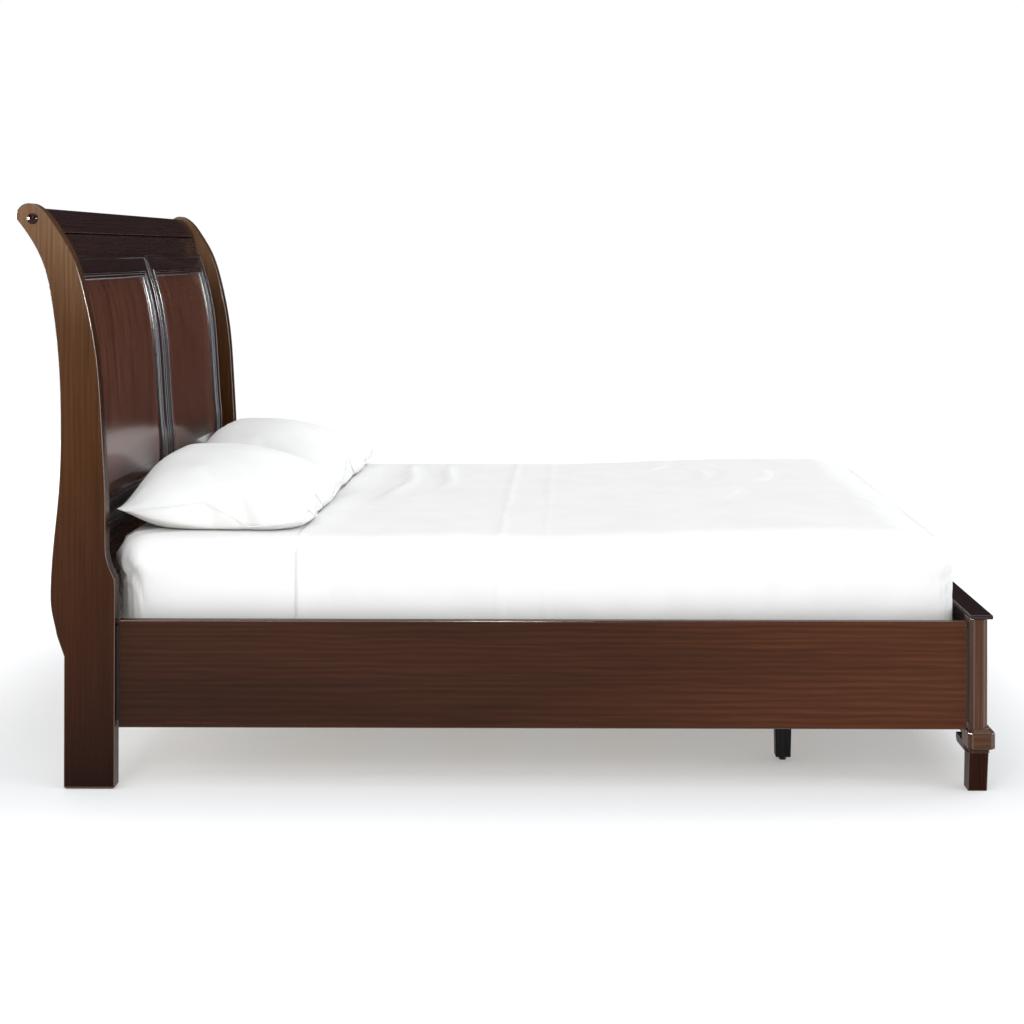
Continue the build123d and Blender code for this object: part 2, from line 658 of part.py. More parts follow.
def footboard_centre_stile():
    """The upright between the footboard's panels."""
    half = FOOT_STILE / 2
    return foot_board(-half, half, FOOT_RAIL_BOTTOM_TOP_Z, CAP_BOTTOM_Z - FOOT_RAIL_TOP)


def footboard_panel_left():
    """A raised panel: a thin edge and a thicker bevelled field."""
    front = FOOT_OUTER_X - FOOT_FRAME_SETBACK - PANEL_SETBACK
    field = block(front - PANEL_THICKNESS, front, -FOOT_POST_INNER_Y, -FOOT_STILE / 2,
                  FOOT_RAIL_BOTTOM_TOP_Z, CAP_BOTTOM_Z - FOOT_RAIL_TOP)
    front_face = field.faces().sort_by(Axis.X)[-1]
    return chamfer(front_face.edges(), FOOT_PANEL_BEVEL_WIDTH, FOOT_PANEL_BEVEL_DEPTH, reference=front_face)


def base_collar_left():
    """The moulding that wraps the foot of a post on its three outer sides."""
    low_y = -FOOT_POST_OUTER_Y - COLLAR_OUT_Y
    high_y = -FOOT_POST_INNER_Y
    ring = block(FOOT_FACE_X - COLLAR_OUT_HEAD, FOOT_OUTER_X + COLLAR_OUT_FOOT, low_y, high_y,
                 COLLAR_BOTTOM_Z, COLLAR_TOP_Z)
    corner_edges = ring.edges().filter_by(Axis.Z).filter_by(lambda e: e.center().Y < low_y + 1)
    ring = chamfer(corner_edges, FOOT_POST_CHAMFER)
    top_edges = ring.faces().sort_by(Axis.Z)[-1].edges().filter_by(lambda e: e.center().Y < high_y - 1)
    ring = chamfer(top_edges, COLLAR_BEVEL)
    core = block(FOOT_FACE_X, FOOT_OUTER_X, -FOOT_POST_OUTER_Y, high_y + 1, COLLAR_BOTTOM_Z - 1,
                 COLLAR_TOP_Z + 1)
    clipped = core.edges().filter_by(Axis.Z).filter_by(lambda e: e.center().Y < -FOOT_POST_OUTER_Y + 1)
    return ring - chamfer(clipped, FOOT_POST_CHAMFER)


def footboard_base_moulding():
    """The same moulding along the foot side, between the collars."""
    front = FOOT_OUTER_X - FOOT_FRAME_SETBACK
    strip = block(front, FOOT_OUTER_X + COLLAR_OUT_FOOT, -FOOT_POST_INNER_Y, FOOT_POST_INNER_Y,
                  COLLAR_BOTTOM_Z, COLLAR_TOP_Z)
    top_edge = strip.edges().filter_by(Axis.Y).sort_by(Axis.Z)[-2:].sort_by(Axis.X)[-1]
    return chamfer(top_edge, MOULDING_BEVEL)


def foot_bracket_left():
    """The low bracket beside the leg, under the bottom rail."""
    y_low = -leg_inner_y()
    bracket = block(FOOT_FACE_X, FOOT_OUTER_X, y_low, y_low + BRACKET_LENGTH, BRACKET_BOTTOM_Z,
                    COLLAR_BOTTOM_Z)
    end = bracket.edges().filter_by(Axis.X).filter_by(lambda e: e.center().Y > y_low + 1)
    return chamfer(end.sort_by(Axis.Z)[0], BRACKET_EASE)


def leg_inner_y():
    """Distance of a leg's inner face from the middle of the bed."""
    return FOOT_POST_OUTER_Y + LEG_PROUD - LEG_SIZE


def footboard_leg_left():
    """A block leg that leans a little towards the head, with a bead near its top."""
    y = -(FOOT_POST_OUTER_Y + LEG_PROUD - LEG_SIZE / 2)
    x = FOOT_FACE_X + LEG_SIZE / 2 - LEG_SPLAY
    top = Plane(origin=(x, y, COLLAR_BOTTOM_Z)) * Rectangle(LEG_SIZE, LEG_SIZE)
    foot = Plane(origin=(x - LEG_SPLAY, y, 0)) * Rectangle(LEG_FOOT_SIZE, LEG_FOOT_SIZE)
    half_bead = LEG_SIZE / 2 + LEG_BEAD_PROUD
    bead = block(x - half_bead, x + half_bead, y - half_bead, y + LEG_SIZE / 2, *LEG_BEAD_Z)
    return loft([foot, top]) + bead - leg_bolt_left()


def leg_bolt_left():
    """The double-ended screw between leg and post."""
    x = FOOT_FACE_X + LEG_SIZE / 2 - LEG_SPLAY
    y = -(FOOT_POST_OUTER_Y + LEG_PROUD - LEG_SIZE / 2)
    return rod((x, y, COLLAR_BOTTOM_Z - LEG_BOLT_HALF), (x, y, COLLAR_BOTTOM_Z + LEG_BOLT_HALF), BOLT_RADIUS)


def footboard_dowels_left():
    """Dowels from the left footboard post into its rails."""
    x = FOOT_OUTER_X - FOOT_FRAME_SETBACK - FOOT_FRAME_THICKNESS / 2
    y = -FOOT_POST_INNER_Y
    return [rod((x, y - FOOT_DOWEL_HALF, z), (x, y + FOOT_DOWEL_HALF, z), DOWEL_RADIUS)
            for z in FOOTBOARD_DOWEL_Z]


def frame_dowels():
    """Every dowel in the headboard and footboard."""
    left = headboard_dowels_left() + footboard_dowels_left()
    return group(*left, *[mirrored(d) for d in left])


# ---------------------------------------------------------------- bedding

def soft_block(height, z_low, corner, edge):
    """An upholstered block of the mattress's length and width."""
    half_width = MATTRESS_WIDTH / 2
    body = block(MATTRESS_HEAD_X, MATTRESS_FOOT_X, -half_width, half_width, z_low, z_low + height)
    body = fillet(body.edges().filter_by(Axis.Z), corner)
    flat_edges = body.faces().sort_by(Axis.Z)[0].edges() + body.faces().sort_by(Axis.Z)[-1].edges()
    return fillet(flat_edges, edge)


def foundation():
    """The low box foundation on the slats."""
    return soft_block(FOUNDATION_HEIGHT - REST_GAP, SLAT_TOP_Z + REST_GAP, FOUNDATION_CORNER,
                      FOUNDATION_EDGE)


def mattress():
    """The mattress on its foundation."""
    return soft_block(MATTRESS_HEIGHT - REST_GAP, FOUNDATION_TOP_Z + REST_GAP, MATTRESS_CORNER, MATTRESS_EDGE)


def pillow_left():
    """A plump pillow against the headboard: its side outline crossed with its front outline."""
    bottom = MATTRESS_TOP_Z + REST_GAP
    rest_head = (PILLOW_REST_X[0], bottom)
    rest_foot = (PILLOW_REST_X[1], bottom)
    side = [ThreePointArc(at(PILLOW_HEAD_EDGE), at(PILLOW_CROWN), at(PILLOW_FOOT_EDGE)),
            Line(at(PILLOW_FOOT_EDGE), at(rest_foot)),
            Line(at(rest_foot), at(rest_head)),
            Line(at(rest_head), at(PILLOW_HEAD_EDGE))]
    body = slab(side, -PILLOW_Y[1], -PILLOW_Y[0])
    middle = -(PILLOW_Y[0] + PILLOW_Y[1]) / 2
    crown = bottom + PILLOW_HEIGHT
    low = bottom + PILLOW_SEAM_HEIGHT
    arch = [ThreePointArc((0, -PILLOW_Y[1], low), (0, middle, crown), (0, -PILLOW_Y[0], low)),
            Line((0, -PILLOW_Y[0], low), (0, -PILLOW_Y[0], bottom)),
            Line((0, -PILLOW_Y[0], bottom), (0, -PILLOW_Y[1], bottom)),
            Line((0, -PILLOW_Y[1], bottom), (0, -PILLOW_Y[1], low))]
    front = extrude(make_face(arch), amount=2000, both=True, dir=(1, 0, 0))
    return body & front


# ---------------------------------------------------------------- nodes

def pair(name, shape):
    """A left piece and its mirror image."""
    return {name + "_left": shape, name + "_right": mirrored(shape)}


def all_sides(shapes):
    """Left solids and their mirror images in one node."""
    return group(*shapes, *[mirrored(s) for s in shapes])


def build():
    """Every sub-part by node name."""
    nodes = {}
    nodes.update(pair("headboard_post", headboard_post_left()))
    nodes["headboard_crest_rail"] = headboard_crest_rail()
    nodes["headboard_frieze_rail"] = headboard_frieze_rail()
    nodes.update(pair("headboard_stile", headboard_stile_left()))
    nodes["headboard_centre_stile"] = headboard_centre_stile()
    nodes.update(pair("headboard_panel", headboard_panel_left()))
    nodes.update(pair("headboard_moulding", headboard_moulding_left()))
    nodes["headboard_bottom_rail"] = headboard_bottom_rail()
    nodes["crest_screws"] = all_sides([crest_screw_left()])
    nodes["scroll_buttons"] = all_sides([scroll_button_left()])
    nodes["frame_dowels"] = frame_dowels()

    nodes.update(pair("side_rail", side_rail_left()))
    nodes.update(pair("slat_ledge", slat_ledge_left()))
    nodes["ledge_screws"] = all_sides(ledge_screws_left())
    nodes["rail_hook_plates"] = all_sides([hook_plate_left(HEAD_FACE_X, 1) - hook_pin_cut(),
                                           hook_plate_left(FOOT_FACE_X, -1) - hook_pin_cut()])
    nodes["hook_plate_pins"] = all_sides(hook_pins_left())
    nodes["post_slot_plates"] = all_sides([slot_plate_left(HEAD_FACE_X, 1), slot_plate_left(FOOT_FACE_X, -1)])
    nodes["slot_plate_screws"] = all_sides(plate_screws_left(HEAD_FACE_X, -1)
                                           + plate_screws_left(FOOT_FACE_X, 1))
    for number, x in enumerate(SLAT_X, start=1):
        nodes[f"slat_{number}"] = slat(x)
    nodes["slat_screws"] = all_sides(slat_screws_left())

    for name, (x, y) in SUPPORT_LEGS.items():
        nodes[f"support_leg_{name}"] = support_leg(x, y)
        nodes[f"levelling_glide_{name}"] = glide(x, y)
    nodes["support_leg_bolts"] = group(*[support_bolt(x, y) for x, y in SUPPORT_LEGS.values()])

    nodes.update(pair("footboard_post", footboard_post_left()))
    nodes["footboard_cap"] = footboard_cap()
    nodes["footboard_top_rail"] = footboard_top_rail()
    nodes["footboard_bottom_rail"] = footboard_bottom_rail()
    nodes["footboard_centre_stile"] = footboard_centre_stile()
    nodes.update(pair("footboard_panel", footboard_panel_left()))
    nodes["footboard_base_moulding"] = footboard_base_moulding()
    nodes.update(pair("base_collar", base_collar_left()))
    nodes.update(pair("foot_bracket", foot_bracket_left()))
    nodes.update(pair("footboard_leg", footboard_leg_left()))
    nodes["leg_bolts"] = all_sides([leg_bolt_left()])

    nodes["foundation"] = foundation()
    nodes["mattress"] = mattress()
    nodes.update(pair("pillow", pillow_left()))
    return nodes


def hook_pin_cut():
    """The pins as one cutter for the hook plates."""
    return group(*hook_pins_left())


os.makedirs("parts", exist_ok=True)
for node_name, node_shape in build().items():
    export_step(node_shape, f"parts/{node_name}.step")
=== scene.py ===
import math

import bmesh
import bpy
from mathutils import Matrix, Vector, noise
from mathutils.bvhtree import BVHTree


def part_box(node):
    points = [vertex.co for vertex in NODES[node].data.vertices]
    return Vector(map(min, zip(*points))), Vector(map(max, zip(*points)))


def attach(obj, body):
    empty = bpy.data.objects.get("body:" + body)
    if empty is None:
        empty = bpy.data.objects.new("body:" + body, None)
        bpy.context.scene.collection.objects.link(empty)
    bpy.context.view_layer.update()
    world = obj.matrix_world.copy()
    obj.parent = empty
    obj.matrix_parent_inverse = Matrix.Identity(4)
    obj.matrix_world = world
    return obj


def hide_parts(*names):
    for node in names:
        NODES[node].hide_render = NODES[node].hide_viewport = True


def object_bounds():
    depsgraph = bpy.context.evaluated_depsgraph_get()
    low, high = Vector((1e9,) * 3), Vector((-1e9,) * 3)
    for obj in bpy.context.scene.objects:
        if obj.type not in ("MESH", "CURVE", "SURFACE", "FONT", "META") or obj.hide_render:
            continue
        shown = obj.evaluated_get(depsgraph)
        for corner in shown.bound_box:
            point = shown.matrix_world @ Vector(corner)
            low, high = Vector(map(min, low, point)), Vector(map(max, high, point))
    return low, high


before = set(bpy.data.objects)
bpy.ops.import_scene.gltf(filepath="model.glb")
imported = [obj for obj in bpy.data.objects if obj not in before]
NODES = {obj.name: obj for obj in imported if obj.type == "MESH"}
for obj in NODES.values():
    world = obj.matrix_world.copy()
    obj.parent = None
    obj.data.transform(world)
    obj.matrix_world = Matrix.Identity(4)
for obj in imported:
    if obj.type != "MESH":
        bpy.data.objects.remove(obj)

CAD_LOW, CAD_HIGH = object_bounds()

# The viewpoint: level camera, square to the bed's side, tilted a hair about its own axis
CAMERA_DISTANCE = 4.275  # from the outer face of the near posts
CAMERA_X = 0.152
CAMERA_HEIGHT = 1.283
LENS = 63.15
SHIFT = (-0.0562, -0.2544)
ROLL = 0.145

# Studio: the world's light on cloth and wood, and what the lacquer mirrors of it
WORLD_LIGHT = 0.93
GLOSS_DARK = 0.02
GLOSS_WALL = 15.0
GLOSS_CEILING = 3.0
GLOSS_TINT = (0.84, 0.92, 1.0, 1)
WALL_EDGE = (0.80, 0.97)  # how far towards the foot a direction points, where the wall starts
WALL_GAP_EDGE = (0.22, 0.32)  # how far to the side, where the gap in the middle of the wall ends
CEILING_EDGE = (0.65, 0.95)  # how far up, where the ceiling starts
WHITE = (1, 1, 1, 1)

# Lights: name, place, aim, width and height, power. The glints show in the lacquer only.
BUTTON = (-1.12, -0.85, 1.36)
LIGHTS = [("key", (-1.6, -5.4, 3.2), (-0.2, 0, 0.6), (1.6, 1.1), 43),
          ("head_front", (-2.5, -5.6, 2.1), (-1.1, -0.8, 1.3), (1.3, 0.9), 14),
          ("button_left", (-2.6, -1.3, 1.42), BUTTON, (0.65, 0.65), 240),
          ("button_right", (-0.05, -1.95, 1.42), BUTTON, (0.3, 0.3), 42),
          ("foot_side", (5.2, -0.6, 1.9), (-1.0, 0.2, 0.8), (2.4, 2.2), 3)]
GLINTS = ("button_left", "button_right")
FLOOR_COLOUR = (0.71, 0.715, 0.72, 1)
FLOOR_REACH = 7.0
GLOW_NEAR = 0.24  # the floor's own light under the bed, and away from it
GLOW_FAR = 0.50
GLOW_SPREAD = (0.02, 0.75)  # distances from the bed between which it grows

POST_OUTER_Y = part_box("headboard_post_left")[0].y
FLOOR_Z = CAD_LOW.z

# Moulded frames of the headboard: distance from the outer edge and height over the boards behind,
# as points of one profile. Its rounded beads are worked out from RIDGES.
MOULDING_WIDTH = 0.063
MOULDING_RISE = 0.015
# A bead is (start, end, height).
RIDGES = [(0.000, 0.0085, 0.0030), (0.0435, 0.0490, 0.0028), (0.0495, 0.0540, 0.0022)]
BEAD_FOOT = MOULDING_RISE - 0.0008
MOULDING_FLAT = MOULDING_RISE - 0.001
GROOVE_HEIGHT = MOULDING_RISE - 0.0022
MOULDING_ROWS = 40
COVE_START = 0.0545  # past the last bead the moulding falls in a hollow
INNER_EDGE_HEIGHT = 0.003
TOP_LEAN = 0.95  # height of the top moulding for its width
PANEL_HEIGHT = 0.009  # field of a raised panel over the boards
BEVEL_WIDTH = 0.036
BEVEL_DROP = 0.004
FIELD_STEP = 0.0008
PANEL_BACK = -0.005
MOULDING_SHARP = 50  # edges with a greater angle, in degrees, stay sharp
PANEL_SHARP = 12
PANEL_LAP = 0.001  # how far a panel reaches under its moulding

# Bedding
MATTRESS_LOW, MATTRESS_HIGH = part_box("mattress")
FOUNDATION_LOW, FOUNDATION_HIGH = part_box("foundation")
SHEET_STEP = 0.009
FITTED_STEP = 0.016
FITTED_OFF = 0.002  # fitted sheet outside the mattress
TOP_OFF = 0.0030  # top sheet outside the mattress
HEAD_CORNER = 0.075
FOOT_CORNER = 0.02
TOP_EDGE = 0.035
FOOT_RISE = 0.020  # the bed is made thicker towards the foot
FOOT_FALL = 0.034  # and rounder at the foot end itself
SHEET_HEAD_X = -0.511  # head end of the top sheet
HEM = 0.02
TOP_SPARE = 0.16  # cloth of the top sheet past the mattress's sides, most of it tucked in
TOP_TUCK = 0.15
FITTED_TUCK = 0.045
CORNER_REACH = 0.16  # of the fitted sheet's tension lines, which these three are the heights of
CORNER_PULL = 0.0035
CORNER_GATHER = 0.0045
CORNER_FOLD = 0.016
FITTED_UNDER = 0.0012  # how far under the mattress each sheet's tucked part lies
TOP_UNDER = 0.0026
SIDE_REACH = 0.05  # cloth that both sheets have below the mattress's lower edge
LOOSER_EDGE = 0.01  # the top sheet is rounder than the fitted one
LOOSER_CORNER = 0.006
FITTED_THICKNESS = 0.0006
TOP_THICKNESS = 0.0007
HEM_THICKNESS = 0.0012
# Folds on the top sheet's far side: height, where across the bed they start and are full, place and
# width of the ridge, place and width of the valley beside it, and the valley's share
FAR_FOLDS = [(0.011, -0.35, 0.50, -0.350, 0.022, -0.400, 0.030, 0.8),
             (0.009, 0.00, 0.45, -0.235, 0.018, -0.270, 0.022, 0.7)]
FAR_END = (0.52, 0.74)  # where across the bed they fade out again
# Ironed creases across the top sheet: height, place, width, sway, and the sway's scale and seed
CREASES = [(0.0032, -0.016, 0.008, 0.004, 6.0, 3.1), (0.0018, 0.096, 0.009, 0.006, 5.0, 4.1)]
# Dents of the top sheet: place, direction, length and depth
DENTS = [(0.58, 0.44, 1.9, 0.16, 0.006), (0.64, -0.12, 1.2, 0.13, 0.003), (0.67, -0.40, 2.2, 0.12, 0.003),
         (0.78, 0.27, 1.4, 0.14, 0.004), (1.01, -0.25, 1.8, 0.12, 0.004), (0.46, 0.52, 1.1, 0.13, 0.004)]
MATTRESS_BOTTOM_GAP = 0.004
MATTRESS_INSET = 0.006  # the mattress's body inside its node, which the sheets fill up
FOUNDATION_INSET = 0.003
FOUNDATION_CORNER = 0.05
CORD_RADIUS = 0.0032
CORD_INSET = 0.012  # a cord below or above the foundation's edge
CORD_SIDES = 8
BLOCK_STEP = 0.03
BLOCK_JOINED = 0.0005

# Pillows
PILLOW_LENGTH = 0.80
PILLOW_DEPTH = 0.56
PILLOW_CELL = 0.0125
PILLOW_FRAMES = 30
PILLOW_PRESSURE = 8.0
SIM_SHARE = 0.38  # how much of the simulated shape is kept over an even one
SEAM_RADIUS = 0.0018
CORNER_WRINKLE = 0.003
HEAD_WEDGE = 0.6  # the head half is pressed to a wedge against the headboard
FOOT_SLOPE = 0.01  # the foot half is pressed a little flatter
EAR_TUCK = 0.03  # how far the two corners at the foot are folded in
PILLOW_TOP = 0.145  # height of the crown over the seam
PILLOW_CREST_SHIFT = 0.070  # the crown lies towards the head
PILLOW_GAP = 0.004  # clear of the sheet below
SEAM_HEIGHT = 0.027
SEAM_HEAD_RISE = 0.024
SEAM_CORNER_RISE = (0.008, 0.026)  # at every corner, and more at the far corner of the foot
FOLD_IN = (0.030, 0.035)  # the near corner of the foot is folded in along the bed and across it


# ---- camera and studio

def add_object(name, data):
    """A new object in the scene."""
    made = bpy.data.objects.new(name, data)
    bpy.context.scene.collection.objects.link(made)
    return made


def make_camera():
    """The camera at the level, square-on viewpoint."""
    data = bpy.data.cameras.new("camera")
    data.lens = LENS
    data.sensor_width = 36
    data.shift_x, data.shift_y = SHIFT
    camera = add_object("camera", data)
    camera.location = (CAMERA_X, POST_OUTER_Y - CAMERA_DISTANCE, CAMERA_HEIGHT)
    camera.rotation_euler = (math.radians(90), math.radians(-ROLL), 0)
    bpy.context.scene.camera = camera


def area_light(name, location, target, size, power):
    """A soft light of a given width and height, aimed at a point."""
    data = bpy.data.lights.new(name, "AREA")
    data.shape = "RECTANGLE"
    data.size, data.size_y = size
    data.energy = power
    light = add_object(name, data)
    light.location = location
    light.visible_camera = False
    light.rotation_euler = (Vector(target) - Vector(location)).to_track_quat("-Z", "Y").to_euler()
    return light


def mix_backgrounds(share, first, second):
    """One background or the other."""
    made = node(share, "ShaderNodeMixShader")
    for place, socket in enumerate((share, first, second)):
        link(socket, made.inputs[place])
    return made.outputs["Shader"]


def make_world():
    """A white surround for soft light. The lacquer mirrors two walls beyond the foot and a dim ceiling."""
    world = bpy.data.worlds.new("studio")
    world.use_nodes = True
    seen = world.node_tree.nodes["Background"]
    give(seen, Color=WHITE, Strength=1.0)
    diffuse = node(world, "ShaderNodeBackground")
    give(diffuse, Color=WHITE, Strength=WORLD_LIGHT)
    parts = node(world, "ShaderNodeSeparateXYZ")
    link(node(world, "ShaderNodeTexCoord").outputs["Generated"], parts.inputs["Vector"])
    wall = mapped(parts.outputs["X"], WALL_EDGE, (GLOSS_DARK, GLOSS_WALL))
    ceiling = mapped(parts.outputs["Z"], CEILING_EDGE, (0.0, GLOSS_CEILING))
    aside = number_math("ABSOLUTE", parts.outputs["Y"])
    parted = number_math("MULTIPLY", wall, mapped(aside, WALL_GAP_EDGE))
    glossy = node(world, "ShaderNodeBackground")
    give(glossy, Color=GLOSS_TINT)
    link(number_math("ADD", parted, ceiling), glossy.inputs["Strength"])
    path = node(world, "ShaderNodeLightPath")
    lit = mix_backgrounds(path.outputs["Is Diffuse Ray"], glossy.outputs["Background"],
                          diffuse.outputs["Background"])
    whole = mix_backgrounds(path.outputs["Is Camera Ray"], lit, seen.outputs["Background"])
    link(whole, world.node_tree.nodes["World Output"].inputs["Surface"])
    bpy.context.scene.world = world


def make_floor():
    """A plain white floor. Its shadows show only round the bed, where it glows less."""
    mesh = bpy.data.meshes.new("floor")
    corners = [(-1, -1), (1, -1), (1, 1), (-1, 1)]
    mesh.from_pydata([(FLOOR_REACH * x, FLOOR_REACH * y, FLOOR_Z) for x, y in corners], [], [(0, 1, 2, 3)])
    floor = add_object("floor", mesh)
    material, shader = new_material("floor")
    give(shader, Base_Color=FLOOR_COLOUR, Roughness=1.0, Specular_IOR_Level=0.0, Emission_Color=WHITE)
    flat = vector_math("ABSOLUTE", object_coordinates(material, (1, 1, 0)))
    past = vector_math("SUBTRACT", flat, (CAD_HIGH.x, CAD_HIGH.y, 0))
    outside = vector_math("MAXIMUM", past, (0, 0, 0))
    distance = vector_math("LENGTH", outside)
    glow = mapped(distance, GLOW_SPREAD, (GLOW_NEAR, GLOW_FAR), smooth=True)
    link(glow, shader.inputs["Emission Strength"])
    floor.data.materials.append(material)


def make_studio():
    """World, floor and soft lights."""
    bpy.context.scene.view_settings.view_transform = "Standard"
    make_world()
    make_floor()
    for name, place, aim, size, power in LIGHTS:
        light = area_light(name, place, aim, size, power)
        if name in GLINTS:
            light.visible_diffuse = False


# ---- material helpers

def new_material(name):
    """An empty node material and its shader."""
    material = bpy.data.materials.new(name)
    material.use_nodes = True
    return material, material.node_tree.nodes["Principled BSDF"]


def node(owner, kind, **values):
    """Add a node to a material or world, or beside a socket, and set its plain properties."""
    made = getattr(owner, "node_tree", owner.id_data).nodes.new(kind)
    for key, value in values.items():
        setattr(made, key, value)
    return made


def give(made, **values):
    """Set sockets of a node. An underscore stands for a space in a socket's name."""
    for key, value in values.items():
        made.inputs[key.replace("_", " ")].default_value = value


def link(start, end):
    """Connect two sockets."""
    end.id_data.links.new(start, end)


def mapped(value, before, after=(0.0, 1.0), smooth=False):
    """A value moved from one range to another and held inside it."""
    made = node(value, "ShaderNodeMapRange", interpolation_type="SMOOTHSTEP" if smooth else "LINEAR")
    give(made, From_Min=before[0], From_Max=before[1], To_Min=after[0], To_Max=after[1])
    link(value, made.inputs["Value"])
    return made.outputs["Result"]


def number_math(operation, *sockets):
    """A step of arithmetic on one or two values."""
    made = node(sockets[0], "ShaderNodeMath", operation=operation)
    for place, socket in enumerate(sockets):
        link(socket, made.inputs[place])
    return made.outputs["Value"]


def vector_math(operation, first, second=None):
    """A step of vector arithmetic on a socket and a second socket or plain vector."""
    made = node(first, "ShaderNodeVectorMath", operation=operation)
    link(first, made.inputs[0])
    if isinstance(second, tuple):
        made.inputs[1].default_value = second
    elif second is not None:
        link(second, made.inputs[1])
    return made.outputs["Value" if operation == "LENGTH" else "Vector"]


def object_coordinates(owner, scale=(1, 1, 1), shift=(0, 0, 0)):
    """Coordinates in the bed's own frame, scaled for a texture."""
    source = node(owner, "ShaderNodeTexCoord")
    mapping = node(owner, "ShaderNodeMapping")
    give(mapping, Scale=scale, Location=shift)
    link(source.outputs["Object"], mapping.inputs["Vector"])
    return mapping.outputs["Vector"]


def noise_texture(vector, scale, detail, roughness=0.5, distortion=0.0):
    """A noise texture's value."""
    made = node(vector, "ShaderNodeTexNoise")
    give(made, Scale=scale, Detail=detail, Roughness=roughness, Distortion=distortion)
    link(vector, made.inputs["Vector"])
    return made.outputs["Fac"]


def mix_values(first, second, share):
    """A blend of two values."""
    made = node(first, "ShaderNodeMix", data_type="FLOAT")
    made.inputs["Factor"].default_value = share
    link(first, made.inputs["A"])
    link(second, made.inputs["B"])
    return made.outputs["Result"]


def ramp(value, stops):
    """Turn a value into a colour. Stops are (position, colour)."""
    made = node(value, "ShaderNodeValToRGB")
    elements = made.color_ramp.elements
    while len(elements) < len(stops):
        elements.new(0.5)
    for element, (position, colour) in zip(elements, stops):
        element.position = position
        element.color = (*colour, 1)
    link(value, made.inputs["Fac"])
    return made.outputs["Color"]


def bump(height, strength, distance, shader, under=None):
    """Bump from a height value into a shader."""
    made = node(height, "ShaderNodeBump")
    give(made, Strength=strength, Distance=distance)
    link(height, made.inputs["Height"])
    if under is not None:
        link(under, made.inputs["Normal"])
    link(made.outputs["Normal"], shader.inputs["Normal"])
    return made.outputs["Normal"]


def along(axis, along_scale, across_scale, bent):
    """Texture scale for a grain that runs along an axis. A bent board's grain also follows its bend."""
    scale = [across_scale] * 3
    for letter in axis + bent:
        scale["XYZ".index(letter)] = along_scale
    return tuple(scale)


def tone_change(colour, axis, stops):
    """Lighten or darken a colour along an axis. Stops are (metres, red, green, blue)."""
    parts = node(colour, "ShaderNodeSeparateXYZ")
    link(object_coordinates(colour), parts.inputs["Vector"])
    start, end = stops[0][0], stops[-1][0]
    place = mapped(parts.outputs[axis], (start, end))
    strongest = max(max(factors) for _, *factors in stops)
    tints = [((at - start) / (end - start), tuple(f / strongest for f in factors))
             for at, *factors in stops]
    tinted = vector_math("MULTIPLY", colour, ramp(place, tints))
    return vector_math("MULTIPLY", tinted, (strongest,) * 3)


def front_ramp(material, elsewhere, front):
    """One colour on surfaces that face the foot of the bed and another on the rest."""
    place = node(material, "ShaderNodeTexCoord")
    parts = node(material, "ShaderNodeSeparateXYZ")
    link(place.outputs["Normal"], parts.inputs["Vector"])
    return ramp(parts.outputs["X"], [(0.3, elsewhere), (0.7, front)])


def wood(name, axis, tones, shift=0.0, gloss=0.26, figure=0.2, level=0.12, change=None, bent="",
         relief=0.06, patch=(0.9, 7.0), back_level=None, front_painted_shade=None):
    """Stained wood under satin lacquer, with its grain along an axis."""
    material, shader = new_material(name)
    offset = (shift, shift * 1.7, shift * 0.6)

    def texture_place(scales, place=(0, 0, 0)):
        return object_coordinates(material, along(axis, *scales, bent), place)

    broad = noise_texture(texture_place(patch, offset), 1.0, 3.0, distortion=0.6)
    rings = node(material, "ShaderNodeTexWave", wave_type="RINGS", rings_direction=axis, wave_profile="SIN")
    give(rings, Scale=5.0, Distortion=5.0, Detail=2.0, Detail_Scale=1.0)
    link(texture_place(RING_SCALE, offset), rings.inputs["Vector"])
    fibre = noise_texture(texture_place(FIBRE_SCALE), 1.0, 5.0, 0.6)
    pores = noise_texture(texture_place(PORE_SCALE), 1.0, 2.0, 0.7)
    tone = mix_values(broad, rings.outputs["Fac"], figure)
    tone = mix_values(tone, fibre, FIBRE_SHARE)
    tone = mix_values(tone, pores, PORE_SHARE)
    dark, middle, light = tones
    colour = ramp(tone, [(0.30, dark), (0.50, middle), (0.70, light)])
    # A colour change along the axis; on the posts it is painted shade low down and a painted highlight at
    # the top
    if change:
        colour = tone_change(colour, axis, change)
    # Painted shade on the faces that face the foot
    if front_painted_shade:
        colour = vector_math("MULTIPLY", colour, front_ramp(material, (1, 1, 1), front_painted_shade))
    link(colour, shader.inputs["Base Color"])
    rough = mapped(fibre, (0.0, 1.0), (gloss - 0.05, gloss + 0.07))
    link(rough, shader.inputs["Roughness"])
    give(shader, Specular_IOR_Level=level)
    if back_level is not None:
        sheen = front_ramp(material, (back_level,) * 3, (level,) * 3)
        link(sheen, shader.inputs["Specular IOR Level"])
    bump(pores, relief, PORE_DEPTH, shader)
    return material


def plain(name, colour, roughness, metallic=0.0, level=0.5, scale=60.0, depth=0.0002):
    """Metal, plastic or lacquer with a slightly uneven surface."""
    material, shader = new_material(name)
    speck = noise_texture(object_coordinates(material), scale, 4.0, 0.6)
    low = tuple(c * (1 - METAL_UNEVEN) for c in colour)
    high = tuple(min(1.0, c * (1 + METAL_UNEVEN)) for c in colour)
    link(ramp(speck, [(0.3, low), (0.7, high)]), shader.inputs["Base Color"])
    give(shader, Roughness=roughness, Metallic=metallic, Specular_IOR_Level=level)
    bump(speck, 0.2, depth, shader)
    return material


